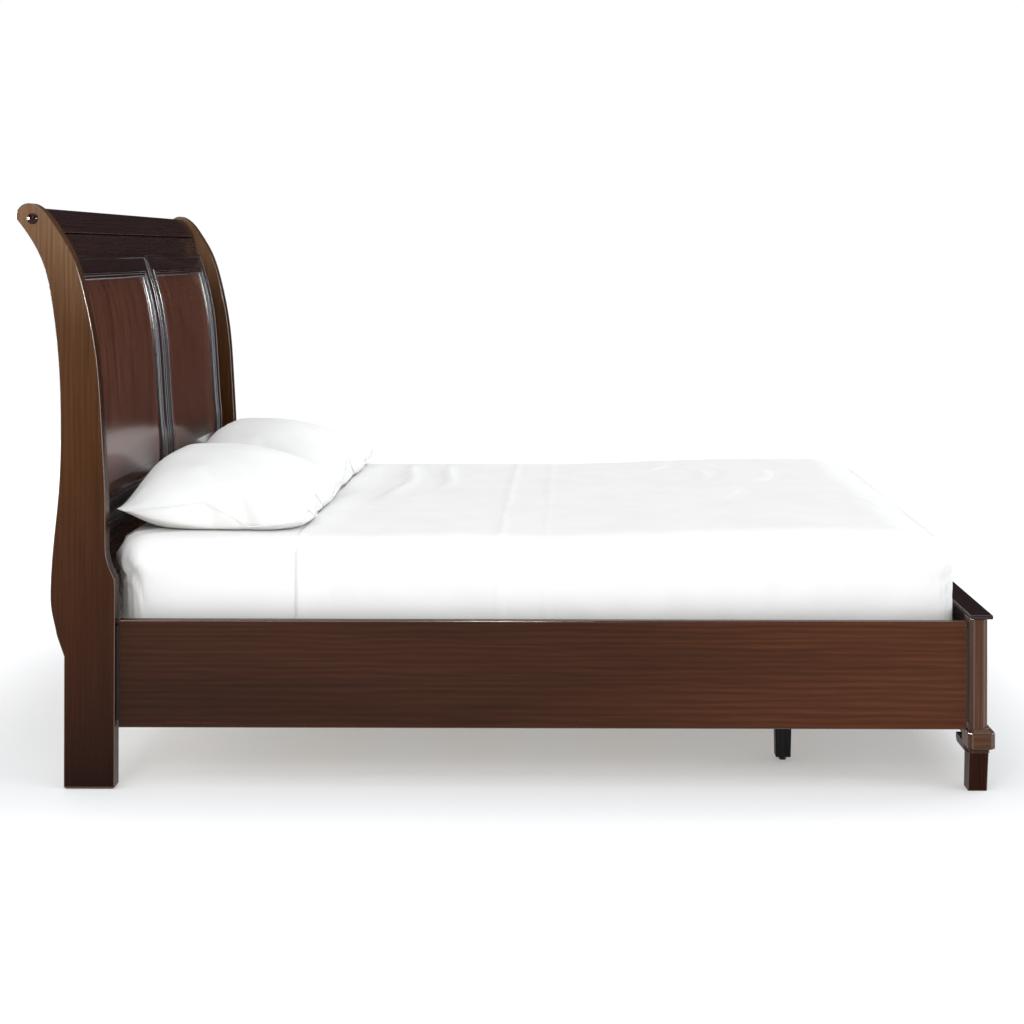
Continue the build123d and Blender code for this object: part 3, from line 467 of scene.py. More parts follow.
def fabric(name, colour, thread=1300.0, depth=0.00015):
    """Woven cloth: crossed threads in the bump and a slightly uneven colour."""
    material, shader = new_material(name)
    uneven = noise_texture(object_coordinates(material), 9.0, 4.0)
    low = tuple(c * (1 - CLOTH_UNEVEN) for c in colour)
    link(ramp(uneven, [(0.35, low), (0.65, colour)]), shader.inputs["Base Color"])
    give(shader, Roughness=0.95, Specular_IOR_Level=0.0)
    threads = None
    for axis in "XYZ":
        wave = node(material, "ShaderNodeTexWave", wave_type="BANDS", bands_direction=axis,
                    wave_profile="SIN")
        give(wave, Scale=thread / 20, Distortion=0.4)
        link(object_coordinates(material), wave.inputs["Vector"])
        if threads is None:
            threads = wave.outputs["Fac"]
        else:
            threads = mix_values(threads, wave.outputs["Fac"], 0.5)
    lint = noise_texture(object_coordinates(material), 420.0, 3.0)
    first = bump(threads, 0.25, depth, shader)
    bump(lint, 0.2, depth, shader, under=first)
    return material


# ---- materials on the carried-over nodes

RING_SCALE = (0.7, 6.0)  # texture scales along and across the grain
FIBRE_SCALE = (4.0, 190.0)
PORE_SCALE = (14.0, 620.0)
FIBRE_SHARE = 0.44
PORE_SHARE = 0.14
PORE_DEPTH = 0.0003
METAL_UNEVEN = 0.12
CLOTH_UNEVEN = 0.03
POST_TONES = ((0.036, 0.0130, 0.0042), (0.064, 0.0240, 0.0082), (0.098, 0.0410, 0.0155))
DARK_TONES = ((0.0125, 0.0050, 0.0046), (0.0185, 0.0076, 0.0068), (0.0275, 0.0118, 0.0104))
PANEL_TONES = ((0.0250, 0.0072, 0.0042), (0.069, 0.0218, 0.0114), (0.126, 0.0450, 0.0260))
RAIL_TONES = ((0.021, 0.0058, 0.0016), (0.038, 0.0108, 0.0034), (0.062, 0.0192, 0.0070))
FOOT_TONES = ((0.034, 0.0120, 0.0044), (0.062, 0.0230, 0.0088), (0.105, 0.0420, 0.0180))
LEG_TONES = ((0.013, 0.0040, 0.0018), (0.023, 0.0072, 0.0036), (0.036, 0.0120, 0.0062))
# Painted light on the posts, by height in metres: painted shade towards the floor and a painted greyish
# highlight towards the top
POST_PAINTED_SHADE_AND_HIGHLIGHT = [(0.0, 0.21, 0.12, 0.10), (0.35, 0.52, 0.36, 0.24), (0.75, 0.85, 0.76, 0.60),
               (1.10, 1.15, 1.25, 1.45), (1.40, 2.55, 3.60, 5.30)]
RAIL_CHANGE = [(-1.0, 0.72, 0.68, 0.60), (0.0, 1.0, 0.96, 0.85), (1.15, 1.90, 1.90, 1.75)]
# Painted shade: on the faces of the posts that face the foot, the colour is multiplied by this
POST_FRONT_PAINTED_SHADE = (0.42, 0.36, 0.36)
EDGE_ROUNDING = 0.0022
GLIDE_ROUNDING = 0.0006
EDGE_LEVEL = 0.7
JOINED = 0.00002  # points nearer than this are one
EDGE_ANGLE = 38
LEG_NAMES = ("left", "right", "centre_head", "centre_foot")


def burnished_edge():
    """The lacquer on the rounded edges of the boards, thicker and glossier than on their faces."""
    name = "burnished_edge"
    made = bpy.data.materials.get(name)
    return made or wood(name, "Z", POST_TONES, shift=20.0, gloss=0.2, level=EDGE_LEVEL)


def dress(node_name, material, rounding=0.0, burnished=False):
    """Give a carried-over node its material and, if asked, rounded and burnished edges."""
    piece = NODES[node_name]
    for material_slot in piece.material_slots:
        material_slot.material = material
    if rounding:
        joined = piece.modifiers.new("joined_faces", "WELD")
        joined.merge_threshold = JOINED
        bevel = piece.modifiers.new("edge_rounding", "BEVEL")
        bevel.width = rounding
        bevel.segments = 3
        bevel.limit_method = "ANGLE"
        bevel.angle_limit = math.radians(EDGE_ANGLE)
        bevel.harden_normals = True
        bevel.use_clamp_overlap = False
        bevel.loop_slide = False
        if burnished:
            piece.data.materials.append(burnished_edge())
            bevel.material = len(piece.data.materials) - 1


def sides(*names):
    """Left and right of each name."""
    return [f"{name}_{side}" for name in names for side in ("left", "right")]


def dress_wood():
    """Each wooden node gets a board of its own: tone, grain direction and place in the texture."""
    # The posts' wood carries painted shade low down and on faces towards the foot, and a painted highlight
    # at the top
    post_wood = wood("post_wood", "Z", POST_TONES, gloss=0.24, figure=0.12, level=0.09, change=POST_PAINTED_SHADE_AND_HIGHLIGHT,
                     front_painted_shade=POST_FRONT_PAINTED_SHADE)
    rail_wood = wood("side_rail_wood", "X", RAIL_TONES, shift=1.4, gloss=0.3, figure=0.24,
                     change=RAIL_CHANGE)
    burnished = [(sides("headboard_post"), post_wood),
                 (sides("side_rail"), rail_wood),
                 (sides("footboard_post"), wood("foot_post_wood", "Z", FOOT_TONES, shift=2.6, level=0.2)),
                 (sides("footboard_leg"), wood("leg_wood", "Z", LEG_TONES, shift=4.9, level=0.04)),
                 (sides("base_collar"), wood("collar_wood", "X", FOOT_TONES, shift=6.1, level=0.2))]
    stiles = sides("headboard_stile") + ["headboard_centre_stile"]
    foot_rails = ["footboard_top_rail", "footboard_bottom_rail", "footboard_base_moulding"]
    foot_rails += sides("foot_bracket")
    foot_panels = sides("footboard_panel") + ["footboard_centre_stile"]
    cap_wood = wood("cap_wood", "Y", DARK_TONES, shift=8.8, gloss=0.2, level=0.3)
    satin = [(["headboard_crest_rail"], wood("crest_wood", "Y", DARK_TONES, shift=3.1, level=0.2)),
             (["headboard_frieze_rail"], wood("frieze_wood", "Y", DARK_TONES, shift=5.3, level=0.2)),
             (stiles, wood("stile_wood", "Z", PANEL_TONES, shift=7.7, bent="X")),
             (["headboard_bottom_rail"], wood("bottom_rail_wood", "Y", PANEL_TONES, shift=9.2)),
             (foot_rails, wood("footboard_wood", "Y", RAIL_TONES, shift=4.4)),
             (["footboard_cap"], cap_wood),
             (foot_panels, wood("footboard_panel_wood", "Z", RAIL_TONES, shift=11.0))]
    for boards, with_edge in ((burnished, True), (satin, False)):
        for names, material in boards:
            for name in names:
                dress(name, material, EDGE_ROUNDING, with_edge)


def dress_hidden_wood():
    """Pine slats, ledges and dowels, and the black support legs."""
    tones = ((0.42, 0.27, 0.13), (0.58, 0.40, 0.22), (0.70, 0.52, 0.32))
    slat_wood = wood("pine_slat", "Y", tones, shift=2.0, gloss=0.6, level=0.3)
    for number in range(1, 7):
        dress(f"slat_{number}", slat_wood, EDGE_ROUNDING)
    dress("frame_dowels", slat_wood)
    ledge_wood = wood("pine_ledge", "X", tones, shift=4.0, gloss=0.6, level=0.3)
    for name in sides("slat_ledge"):
        dress(name, ledge_wood, EDGE_ROUNDING)
    black_tones = ((0.004, 0.004, 0.005), (0.010, 0.010, 0.012), (0.020, 0.020, 0.022))
    black = wood("black_leg_wood", "Z", black_tones, shift=1.0, gloss=0.4)
    for name in LEG_NAMES:
        dress(f"support_leg_{name}", black, EDGE_ROUNDING)


def dress_hardware():
    """Steel, nylon and the lacquered buttons."""
    zinc = plain("zinc_plated_steel", (0.55, 0.56, 0.58), 0.35, metallic=1.0, scale=180)
    for name in ("crest_screws", "ledge_screws", "slat_screws", "slot_plate_screws", "hook_plate_pins",
                 "leg_bolts", "support_leg_bolts"):
        dress(name, zinc)
    black_steel = plain("black_steel", (0.010, 0.010, 0.011), 0.45, scale=220)
    for name in ("post_slot_plates", "rail_hook_plates"):
        dress(name, black_steel)
    nylon = plain("glide_nylon", (0.02, 0.02, 0.022), 0.5, scale=140)
    for name in LEG_NAMES:
        dress(f"levelling_glide_{name}", nylon, GLIDE_ROUNDING)
    button = plain("button_lacquer", (0.020, 0.006, 0.004), 0.05, level=0.15, scale=40, depth=0.00001)
    dress("scroll_buttons", button)


# ---- mesh helpers

def add_piece(name, points, faces, materials):
    """A smooth mesh object from points and faces."""
    mesh = bpy.data.meshes.new(name)
    mesh.from_pydata([tuple(p) for p in points], [], faces)
    mesh.validate()
    mesh.update()
    mesh.polygons.foreach_set("use_smooth", [True] * len(mesh.polygons))
    piece = add_object(name, mesh)
    for material in materials:
        piece.data.materials.append(material)
    return piece


def clean_mesh(piece, distance=JOINED):
    """Weld points that meet and turn every face outwards."""
    shape = bmesh.new()
    shape.from_mesh(piece.data)
    bmesh.ops.remove_doubles(shape, verts=shape.verts, dist=distance)
    bmesh.ops.recalc_face_normals(shape, faces=shape.faces)
    shape.to_mesh(piece.data)
    shape.free()


def smooth_by_angle(piece, degrees):
    """Mark edges sharper than an angle, so that the rest shades round."""
    shape = bmesh.new()
    shape.from_mesh(piece.data)
    limit = math.radians(degrees)
    for edge in shape.edges:
        edge.smooth = len(edge.link_faces) == 2 and edge.calc_face_angle(0.0) < limit
    shape.to_mesh(piece.data)
    shape.free()


def grid_faces(rows, columns, start=0, closed=False):
    """Faces between rows of points, each row with the same number of points."""
    faces = []
    for row in range(rows - 1):
        for column in range(columns if closed else columns - 1):
            following = (column + 1) % columns
            here, above = start + row * columns, start + (row + 1) * columns
            faces.append((here + column, above + column, above + following, here + following))
    return faces


def grid_border(last_row, last_column):
    """(row, column) places round the border of a grid."""
    there = [(0, c) for c in range(last_column)] + [(r, last_column) for r in range(last_row)]
    back = [(last_row, c) for c in range(last_column, 0, -1)] + [(r, 0) for r in range(last_row, 0, -1)]
    return there + back


def eased(value, start, end):
    """0 before start, 1 after end and a smooth step between."""
    share = min(1.0, max(0.0, (value - start) / (end - start)))
    return share * share * (3 - 2 * share)


# ---- headboard panels and mouldings

class Face:
    """The headboard's curved face as a function of height, read from the nodes of its boards."""

    def __init__(self, z_low, z_high, count=40):
        self.start = z_low
        self.step = (z_high - z_low) / count
        trees = []
        for name in ("headboard_centre_stile", "headboard_frieze_rail", "headboard_bottom_rail"):
            mesh = NODES[name].data
            corners = [v.co.copy() for v in mesh.vertices]
            trees.append(BVHTree.FromPolygons(corners, [tuple(p.vertices) for p in mesh.polygons]))
        self.values = []
        for i in range(count + 1):
            ray_start = Vector((0, 0.001, z_low + (z_high - z_low) * i / count))
            hits = [tree.ray_cast(ray_start, Vector((-1, 0, 0)))[0] for tree in trees]
            self.values.append(max(hit.x for hit in hits if hit is not None))

    def x(self, z):
        """X of the face at a height."""
        place = (z - self.start) / self.step
        index = min(max(int(place), 0), len(self.values) - 2)
        share = place - index
        return self.values[index] * (1 - share) + self.values[index + 1] * share

    def slope(self, z):
        """How fast X grows with height."""
        return (self.x(z + self.step) - self.x(z - self.step)) / (2 * self.step)

    def point(self, y, z, height):
        """A point over the face by a height, straight out from it."""
        slope = self.slope(z)
        length = math.sqrt(1 + slope * slope)
        return (self.x(z) + height / length, y, z - slope * height / length)


def moulding_profile():
    """(inset, height) points across a moulding, from its outer foot to its inner foot."""
    points = [(0.0, 0.0), (0.0, MOULDING_FLAT)]
    for start, end, rise in RIDGES:
        for i in range(7):
            angle = math.pi * i / 6
            inset = start + (end - start) * (1 - math.cos(angle)) / 2
            points.append((inset, BEAD_FOOT + rise * math.sin(angle) ** 0.7))
        if start == 0.0:
            points += [(end + 0.0006, MOULDING_FLAT), (RIDGES[1][0] - 0.0012, MOULDING_FLAT),
                       (RIDGES[1][0] - 0.0005, GROOVE_HEIGHT)]
    for i in range(1, 7):
        angle = i / 6 * math.pi / 2
        inset = COVE_START + (MOULDING_WIDTH - COVE_START) * math.sin(angle)
        fall = (MOULDING_RISE - INNER_EDGE_HEIGHT) * (1 - math.cos(angle))
        points.append((inset, MOULDING_FLAT - fall))
    points.append((MOULDING_WIDTH, 0.0))
    return points


def moulding_frame(name, low, high, face, materials):
    """A mitred moulding round one panel, bent to the headboard's curve."""
    y_low, y_high, z_low, z_high = low[1], high[1], low[2], high[2]
    profile = moulding_profile()
    points, faces, material_of = [], [], []

    def strip(stations, material):
        made = grid_faces(len(stations), len(profile), len(points), closed=True)
        faces.extend(made)
        material_of.extend([material] * len(made))
        for station in stations:
            points.extend(station)

    def upright(y_edge, direction):
        rows = []
        for i in range(MOULDING_ROWS + 1):
            row = []
            for inset, height in profile:
                rise = i / MOULDING_ROWS * (z_high - inset * TOP_LEAN - z_low - inset)
                row.append(face.point(y_edge + direction * inset, z_low + inset + rise, height))
            rows.append(row)
        strip(rows, 0)

    def level(z_edge, direction):
        rows = []
        for share in (0, 1):
            row = []
            for inset, height in profile:
                run = share * (y_high - y_low - 2 * inset)
                row.append(face.point(y_low + inset + run, z_edge + direction * inset, height))
            rows.append(row)
        strip(rows, 1)

    upright(y_low, 1)
    upright(y_high, -1)
    level(z_high, -TOP_LEAN)
    level(z_low, 1)
    piece = add_piece(name, points, faces, materials)
    piece.data.polygons.foreach_set("material_index", material_of)
    clean_mesh(piece)
    smooth_by_angle(piece, MOULDING_SHARP)
    return piece


def panel_height(inset):
    """Height of a raised panel over the boards, by distance from its nearest edge."""
    if inset >= BEVEL_WIDTH:
        return PANEL_HEIGHT
    share = inset / BEVEL_WIDTH
    return PANEL_HEIGHT - FIELD_STEP - BEVEL_DROP * (1 - share)


def spaced(low, high, margin, count):
    """Values across a panel: close together in its bevels, even between them."""
    edge = [0, margin * 0.5, margin - 0.0012, margin]
    middle_low, middle_high = low + margin, high - margin
    inner = [middle_low + (middle_high - middle_low) * i / count for i in range(1, count)]
    return [low + e for e in edge] + inner + [high - e for e in reversed(edge)]


def raised_panel(name, low, high, face, material):
    """A bevelled raised panel, bent to the headboard's curve, with a plain back."""
    ys = spaced(low[1], high[1], BEVEL_WIDTH, 6)
    zs = spaced(low[2], high[2], BEVEL_WIDTH, 36)
    points = []
    rows, columns = len(zs), len(ys)
    for is_front in (True, False):
        for z in zs:
            for y in ys:
                inset = min(y - low[1], high[1] - y, z - low[2], high[2] - z)
                height = panel_height(max(0.0, inset)) if is_front else PANEL_BACK
                points.append(face.point(y, z, height))
    size = rows * columns
    faces = []
    for quad in grid_faces(rows, columns):
        faces += [quad, tuple(size + i for i in reversed(quad))]
    ring = [row * columns + column for row, column in grid_border(rows - 1, columns - 1)]
    for first, second in zip(ring, ring[1:] + ring[:1]):
        faces.append((first, size + first, size + second, second))
    piece = add_piece(name, points, faces, [material])
    clean_mesh(piece, JOINED / 20)
    smooth_by_angle(piece, PANEL_SHARP)
    return piece


def make_headboard_details():
    """Mouldings and raised panels that stand for their plainer nodes."""
    low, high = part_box("headboard_moulding_left")
    face = Face(low.z - 0.02, high.z + 0.02)
    upright = wood("moulding_wood_upright", "Z", DARK_TONES, shift=12.5, gloss=0.18, level=0.5, bent="X",
                   relief=0.0)
    level = wood("moulding_wood_level", "Y", DARK_TONES, shift=14.5, gloss=0.18, level=0.5, relief=0.0)
    panel_wood = wood("panel_wood", "Z", PANEL_TONES, shift=15.9, gloss=0.15, level=1.0, bent="X",
                      relief=0.03, patch=(5.0, 38.0), back_level=0.1)
    for side in ("left", "right"):
        low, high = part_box(f"headboard_moulding_{side}")
        frame_piece = moulding_frame(f"moulding_{side}", low, high, face, [upright, level])
        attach(frame_piece, "bed_frame")
        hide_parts(f"headboard_moulding_{side}")
        covered = MOULDING_WIDTH - PANEL_LAP
        panel_low = (0, low.y + covered, low.z + covered)
        panel_high = (0, high.y - covered, high.z - MOULDING_WIDTH * TOP_LEAN + PANEL_LAP)
        panel = raised_panel(f"raised_panel_{side}", panel_low, panel_high, face, panel_wood)
        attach(panel, "bed_frame")
        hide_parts(f"headboard_panel_{side}")


# ---- mattress, foundation and sheets

def outline_side(x, y, low, high, head_radius, foot_radius):
    """Distance of a plan point outside a rounded rectangle, and the direction away from it."""
    radius = head_radius if x < (low[0] + high[0]) / 2 else foot_radius
    core_x = min(max(x, low[0] + radius), high[0] - radius)
    core_y = min(max(y, low[1] + radius), high[1] - radius)
    away = Vector((x - core_x, y - core_y))
    if away.length > 1e-9:
        return away.length - radius, away.normalized()
    gaps = [(x - low[0], Vector((-1, 0))), (high[0] - x, Vector((1, 0))), (y - low[1], Vector((0, -1))),
            (high[1] - y, Vector((0, 1)))]
    gap, direction = min(gaps, key=lambda g: g[0])
    return -gap, direction


def wrapped(x, y, low, high, top, edge, corners):
    """Where a point of cloth lies when it is laid over a soft block and goes down its sides."""
    inner_low = (low[0] + edge, low[1] + edge)
    inner_high = (high[0] - edge, high[1] - edge)
    head = max(0.002, corners[0] - edge)
    foot = max(0.002, corners[1] - edge)
    distance, away = outline_side(x, y, inner_low, inner_high, head, foot)
    if distance <= 0:
        return Vector((x, y, top)), Vector((0, 0, 1)), distance
    quarter = edge * math.pi / 2
    base = Vector((x, y)) - away * distance
    angle = min(distance / edge, math.pi / 2)
    spot = base + away * edge * math.sin(angle)
    z = top - edge * (1 - math.cos(angle)) - max(0.0, distance - quarter)
    direction = Vector((away.x * math.sin(angle), away.y * math.sin(angle), math.cos(angle)))
    return Vector((spot.x, spot.y, z)), direction, distance


def crown(x):
    """How much thicker the made bed is at a distance along it."""
    return FOOT_RISE * eased(x, 0.05, 0.80) - FOOT_FALL * eased(x, 0.93, 1.10)


def ridge(distance, width):
    """A soft ridge of height 1 and a given half width."""
    return math.exp(-(distance / width) ** 2)


def wander(x, y, scale, seed):
    """Smooth noise between -1 and 1."""
    return noise.noise(Vector((x * scale, y * scale, seed)))


def top_sheet_relief(x, y):
    """Folds, creases and dents of the top sheet, in metres."""
    relief = 0.0
    bend = 0.05 * wander(0.0, y, 3.0, 1.5)
    for height, start, full, crest, crest_width, valley, valley_width, share in FAR_FOLDS:
        far = eased(y, start, full) * (1 - eased(y, *FAR_END))
        wave = ridge(x - crest + bend, crest_width) - share * ridge(x - valley + bend, valley_width)
        relief += height * far * wave
    for height, place, width, sway, scale, seed in CREASES:
        relief += height * ridge(x - place + sway * wander(0, y, scale, seed), width)
    slant = (y + 0.217) + (x + 0.394) * 0.678
    relief += 0.0022 * ridge(slant / 1.21, 0.010) * eased(x, -0.42, -0.34) * (1 - eased(x, -0.04, 0.04))
    for dent_x, dent_y, turn, length, depth in DENTS:
        ahead = (x - dent_x) * math.cos(turn) + (y - dent_y) * math.sin(turn)
        aside = (y - dent_y) * math.cos(turn) - (x - dent_x) * math.sin(turn) - 1.8 * ahead * ahead
        relief += depth * ridge(ahead, length) * (0.6 * ridge(aside - 0.035, 0.020) - ridge(aside, 0.024))
    relief += 0.0030 * wander(x, y, 3.2, 0.3)
    relief += 0.0012 * wander(x * 2.2, y, 7.0, 5.5)
    relief += 0.0005 * abs(wander(x, y * 1.5, 18.0, 8.5))
    return relief


def top_sheet_side_relief(x, y, distance):
    """Slow waves of the top sheet where it hangs down the sides."""
    hang = eased(distance, 0.02, 0.12)
    slow = wander(x * 1.6, 0.0, 2.6, 11.0 + (y > 0))
    return hang * (0.0035 * slow + 0.0012 * wander(x, y, 9.0, 2.2))


def fitted_relief(x, y, distance):
    """Tension lines at the corners of the fitted sheet and its gathers on the corner's side."""
    relief = 0.0012 * wander(x, y, 4.0, 21.0)
    corner_x = min(abs(x - MATTRESS_LOW.x + FITTED_OFF), abs(x - MATTRESS_HIGH.x - FITTED_OFF))
    corner_y = min(abs(y - MATTRESS_LOW.y + FITTED_OFF), abs(y - MATTRESS_HIGH.y - FITTED_OFF))
    near_corner = ridge(corner_x + corner_y, CORNER_REACH)
    spread = math.atan2(corner_y + 0.02, corner_x + 0.02)
    relief += CORNER_PULL * near_corner * math.sin(spread * 14.0 + 1.3)
    relief += CORNER_GATHER * near_corner * eased(distance, 0.02, 0.12) * math.sin(spread * 26.0)
    at_head = 1.0 if x < 0 else 0.4
    relief += CORNER_FOLD * at_head * ridge(corner_x - corner_y, 0.035) * ridge(distance - 0.075, 0.035)
    return relief


def cloth_grid(name, x_range, y_range, drop, off, relief, material, edge, corners, step, tuck, tuck_z,
               thickness):
    """A sheet: a grid of cloth wrapped over the mattress's top and down its sides, then tucked under."""
    low = (MATTRESS_LOW.x - off, MATTRESS_LOW.y - off)
    high = (MATTRESS_HIGH.x + off, MATTRESS_HIGH.y + off)
    top = MATTRESS_HIGH.z + off
    x_count = int((x_range[1] - x_range[0]) / step)
    y_count = int((y_range[1] - y_range[0]) / step)
    full = drop + edge * (math.pi / 2 - 1)
    points, index, faces = [], {}, []
    for i in range(x_count + 1):
        for j in range(y_count + 1):
            x = x_range[0] + (x_range[1] - x_range[0]) * i / x_count
            y = y_range[0] + (y_range[1] - y_range[0]) * j / y_count
            spot, direction, distance = wrapped(x, y, low, high, top, edge, corners)
            if distance > full + step + tuck:
                continue
            spot = spot + direction * relief(x, y, distance)
            spot.z += crown(x) * (1 - eased(distance, 0.0, full * 0.85))
            if distance > full:
                under = min(distance - full, tuck)
                away = Vector((direction.x, direction.y, 0))
                spot = Vector((spot.x, spot.y, 0)) - away * (under + 0.004 * eased(under, 0, 0.01))
                spot.z = tuck_z
            index[i, j] = len(points)
            points.append(spot)
    for i in range(x_count):
        for j in range(y_count):
            corner = [(i, j), (i + 1, j), (i + 1, j + 1), (i, j + 1)]
            if all(c in index for c in corner):
                faces.append(tuple(index[c] for c in corner))
    piece = add_piece(name, points, faces, [material])
    clean_mesh(piece)
    solid = piece.modifiers.new("thickness", "SOLIDIFY")
    solid.thickness = thickness
    solid.offset = 1.0
    return piece


def unit_box(cuts):
    """Points and faces of a cube of half size 1, each face a grid."""
    points, faces = [], []
    for fixed_axis in range(3):
        u_axis, v_axis = [a for a in range(3) if a != fixed_axis]
        for sign in (-1.0, 1.0):
            faces += grid_faces(cuts[u_axis] + 1, cuts[v_axis] + 1, len(points))
            for i in range(cuts[u_axis] + 1):
                for j in range(cuts[v_axis] + 1):
                    p = [0.0, 0.0, 0.0]
                    p[fixed_axis] = sign
                    p[u_axis] = -1 + 2 * i / cuts[u_axis]
                    p[v_axis] = -1 + 2 * j / cuts[v_axis]
                    points.append(Vector(p))
    return points, faces


def soft_block(name, low, high, corner, edge, bulge, material):
    """A stuffed block with rounded edges, its sides and top a little full."""
    size = high - low
    points, faces = unit_box([max(4, int(size[axis] / BLOCK_STEP)) for axis in range(3)])
    middle = (low + high) / 2
    half = size / 2
    shaped = []
    for p in points:
        x, y, z = (middle[a] + p[a] * half[a] for a in range(3))
        core_x = min(max(x, low.x + corner), high.x - corner)
        core_y = min(max(y, low.y + corner), high.y - corner)
        away = Vector((x - core_x, y - core_y))
        away = away.normalized() * min(away.length, corner)
        x, y = core_x + away.x, core_y + away.y
        gap = min(x - low.x, high.x - x, y - low.y, high.y - y, corner - away.length)
        height = min(z - low.z, high.z - z)
        if gap < edge and height < edge:
            direction = Vector((edge - gap, edge - height))
            if direction.length > edge:
                direction = direction.normalized() * edge
            new_gap, new_height = edge - direction.x, edge - direction.y
            shift = away.normalized() * (gap - new_gap)
            x, y = x + shift.x, y + shift.y
            z = low.z + new_height if z < middle.z else high.z - new_height
        full = (1 - p[0] ** 4) * (1 - p[1] ** 4)
        side_full = 1 - p[2] ** 2
        if z > middle.z:
            z += bulge * full * abs(p[2])
        outward = Vector([a if abs(a) == 1 else 0 for a in p[:2]]).normalized() * bulge * 0.5 * side_full
        x, y = x + outward.x, y + outward.y
        shaped.append((x, y, z))
    piece = add_piece(name, shaped, faces, [material])
    clean_mesh(piece, BLOCK_JOINED)
    return piece


def cord(name, ring, radius, material):
    """A closed round cord through a ring of points."""
    points = []
    for i, point in enumerate(ring + ring[:1]):
        place = i % len(ring)
        direction = (ring[(place + 1) % len(ring)] - ring[place - 1]).normalized()
        side = direction.cross(Vector((0, 0, 1))).normalized()
        up = side.cross(direction)
        points += [point + side * radius * math.cos(a) + up * radius * math.sin(a)
                   for a in [math.tau * k / CORD_SIDES for k in range(CORD_SIDES)]]
    piece = add_piece(name, points, grid_faces(len(ring) + 1, CORD_SIDES, closed=True), [material])
    clean_mesh(piece)
    return piece


def piping(name, low, high, z, material):
    """A cord sewn along an edge of the foundation."""
    corner = FOUNDATION_CORNER
    ring = []
    for quarter, (is_right, is_far) in enumerate(((1, 1), (0, 1), (0, 0), (1, 0))):
        centre_x = high.x - corner if is_right else low.x + corner
        centre_y = high.y - corner if is_far else low.y + corner
        for i in range(9):
            angle = math.radians(90 * (quarter + i / 8))
            across = (corner * math.cos(angle), corner * math.sin(angle))
            ring.append(Vector((centre_x + across[0], centre_y + across[1], z)))
    piece = cord(name, ring, CORD_RADIUS, material)
    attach(piece, "foundation")


def make_bed_base():
    """The mattress and its foundation, each a stuffed block with corded edges."""
    ticking = fabric("mattress_ticking", (0.74, 0.74, 0.72), thread=500, depth=0.0004)
    foundation_cloth = fabric("foundation_cloth", (0.60, 0.60, 0.58), thread=380, depth=0.0004)
    low = MATTRESS_LOW + Vector((MATTRESS_INSET, MATTRESS_INSET, MATTRESS_BOTTOM_GAP))
    high = MATTRESS_HIGH - Vector((MATTRESS_INSET, MATTRESS_INSET, 0.004))
    mattress = soft_block("mattress_body", low, high, 0.07, 0.03, 0.003, ticking)
    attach(mattress, "mattress")
    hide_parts("mattress")
    low = FOUNDATION_LOW + Vector((FOUNDATION_INSET, FOUNDATION_INSET, 0))
    high = FOUNDATION_HIGH - Vector((FOUNDATION_INSET, FOUNDATION_INSET, FOUNDATION_INSET))
    foundation = soft_block("foundation_body", low, high, FOUNDATION_CORNER, 0.012, 0.0015,
                            foundation_cloth)
    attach(foundation, "foundation")
    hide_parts("foundation")
    piping("foundation_top_cord", low, high, high.z - CORD_INSET, foundation_cloth)
    piping("foundation_foot_cord", low, high, low.z + CORD_INSET, foundation_cloth)


def make_sheets():
    """The fitted sheet and the top sheet."""
    cotton = fabric("sheet_cotton", (0.838, 0.827, 0.810))
    drop = MATTRESS_HIGH.z - MATTRESS_LOW.z - 0.001
    reach = drop + SIDE_REACH
    head_x, foot_x = MATTRESS_LOW.x - reach, MATTRESS_HIGH.x + reach
    left_y, right_y = MATTRESS_LOW.y - reach, MATTRESS_HIGH.y + reach
    tuck_z = MATTRESS_LOW.z + MATTRESS_BOTTOM_GAP
    fitted = cloth_grid("fitted_sheet", (head_x, foot_x), (left_y, right_y), drop, FITTED_OFF,
                        fitted_relief, cotton, TOP_EDGE, (HEAD_CORNER, FOOT_CORNER), FITTED_STEP,
                        FITTED_TUCK, tuck_z - FITTED_UNDER, FITTED_THICKNESS)
    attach(fitted, "mattress")

    def relief(x, y, distance):
        hem_edge = x - SHEET_HEAD_X
        past_hem = eased(hem_edge, HEM - 0.002, HEM + 0.002)
        hem = HEM_THICKNESS * eased(hem_edge, -0.001, 0.002) * (1 - past_hem)
        loose = eased(hem_edge, 0.0, 0.12)
        return loose * (top_sheet_relief(x, y) + top_sheet_side_relief(x, y, distance)) + hem

    top = cloth_grid("top_sheet", (SHEET_HEAD_X, foot_x + TOP_SPARE),
                     (left_y - TOP_SPARE, right_y + TOP_SPARE), drop, TOP_OFF, relief, cotton,
                     TOP_EDGE + LOOSER_EDGE, (HEAD_CORNER, FOOT_CORNER + LOOSER_CORNER), SHEET_STEP,
                     TOP_TUCK, tuck_z - TOP_UNDER, TOP_THICKNESS)
    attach(top, "mattress")


# ---- pillows

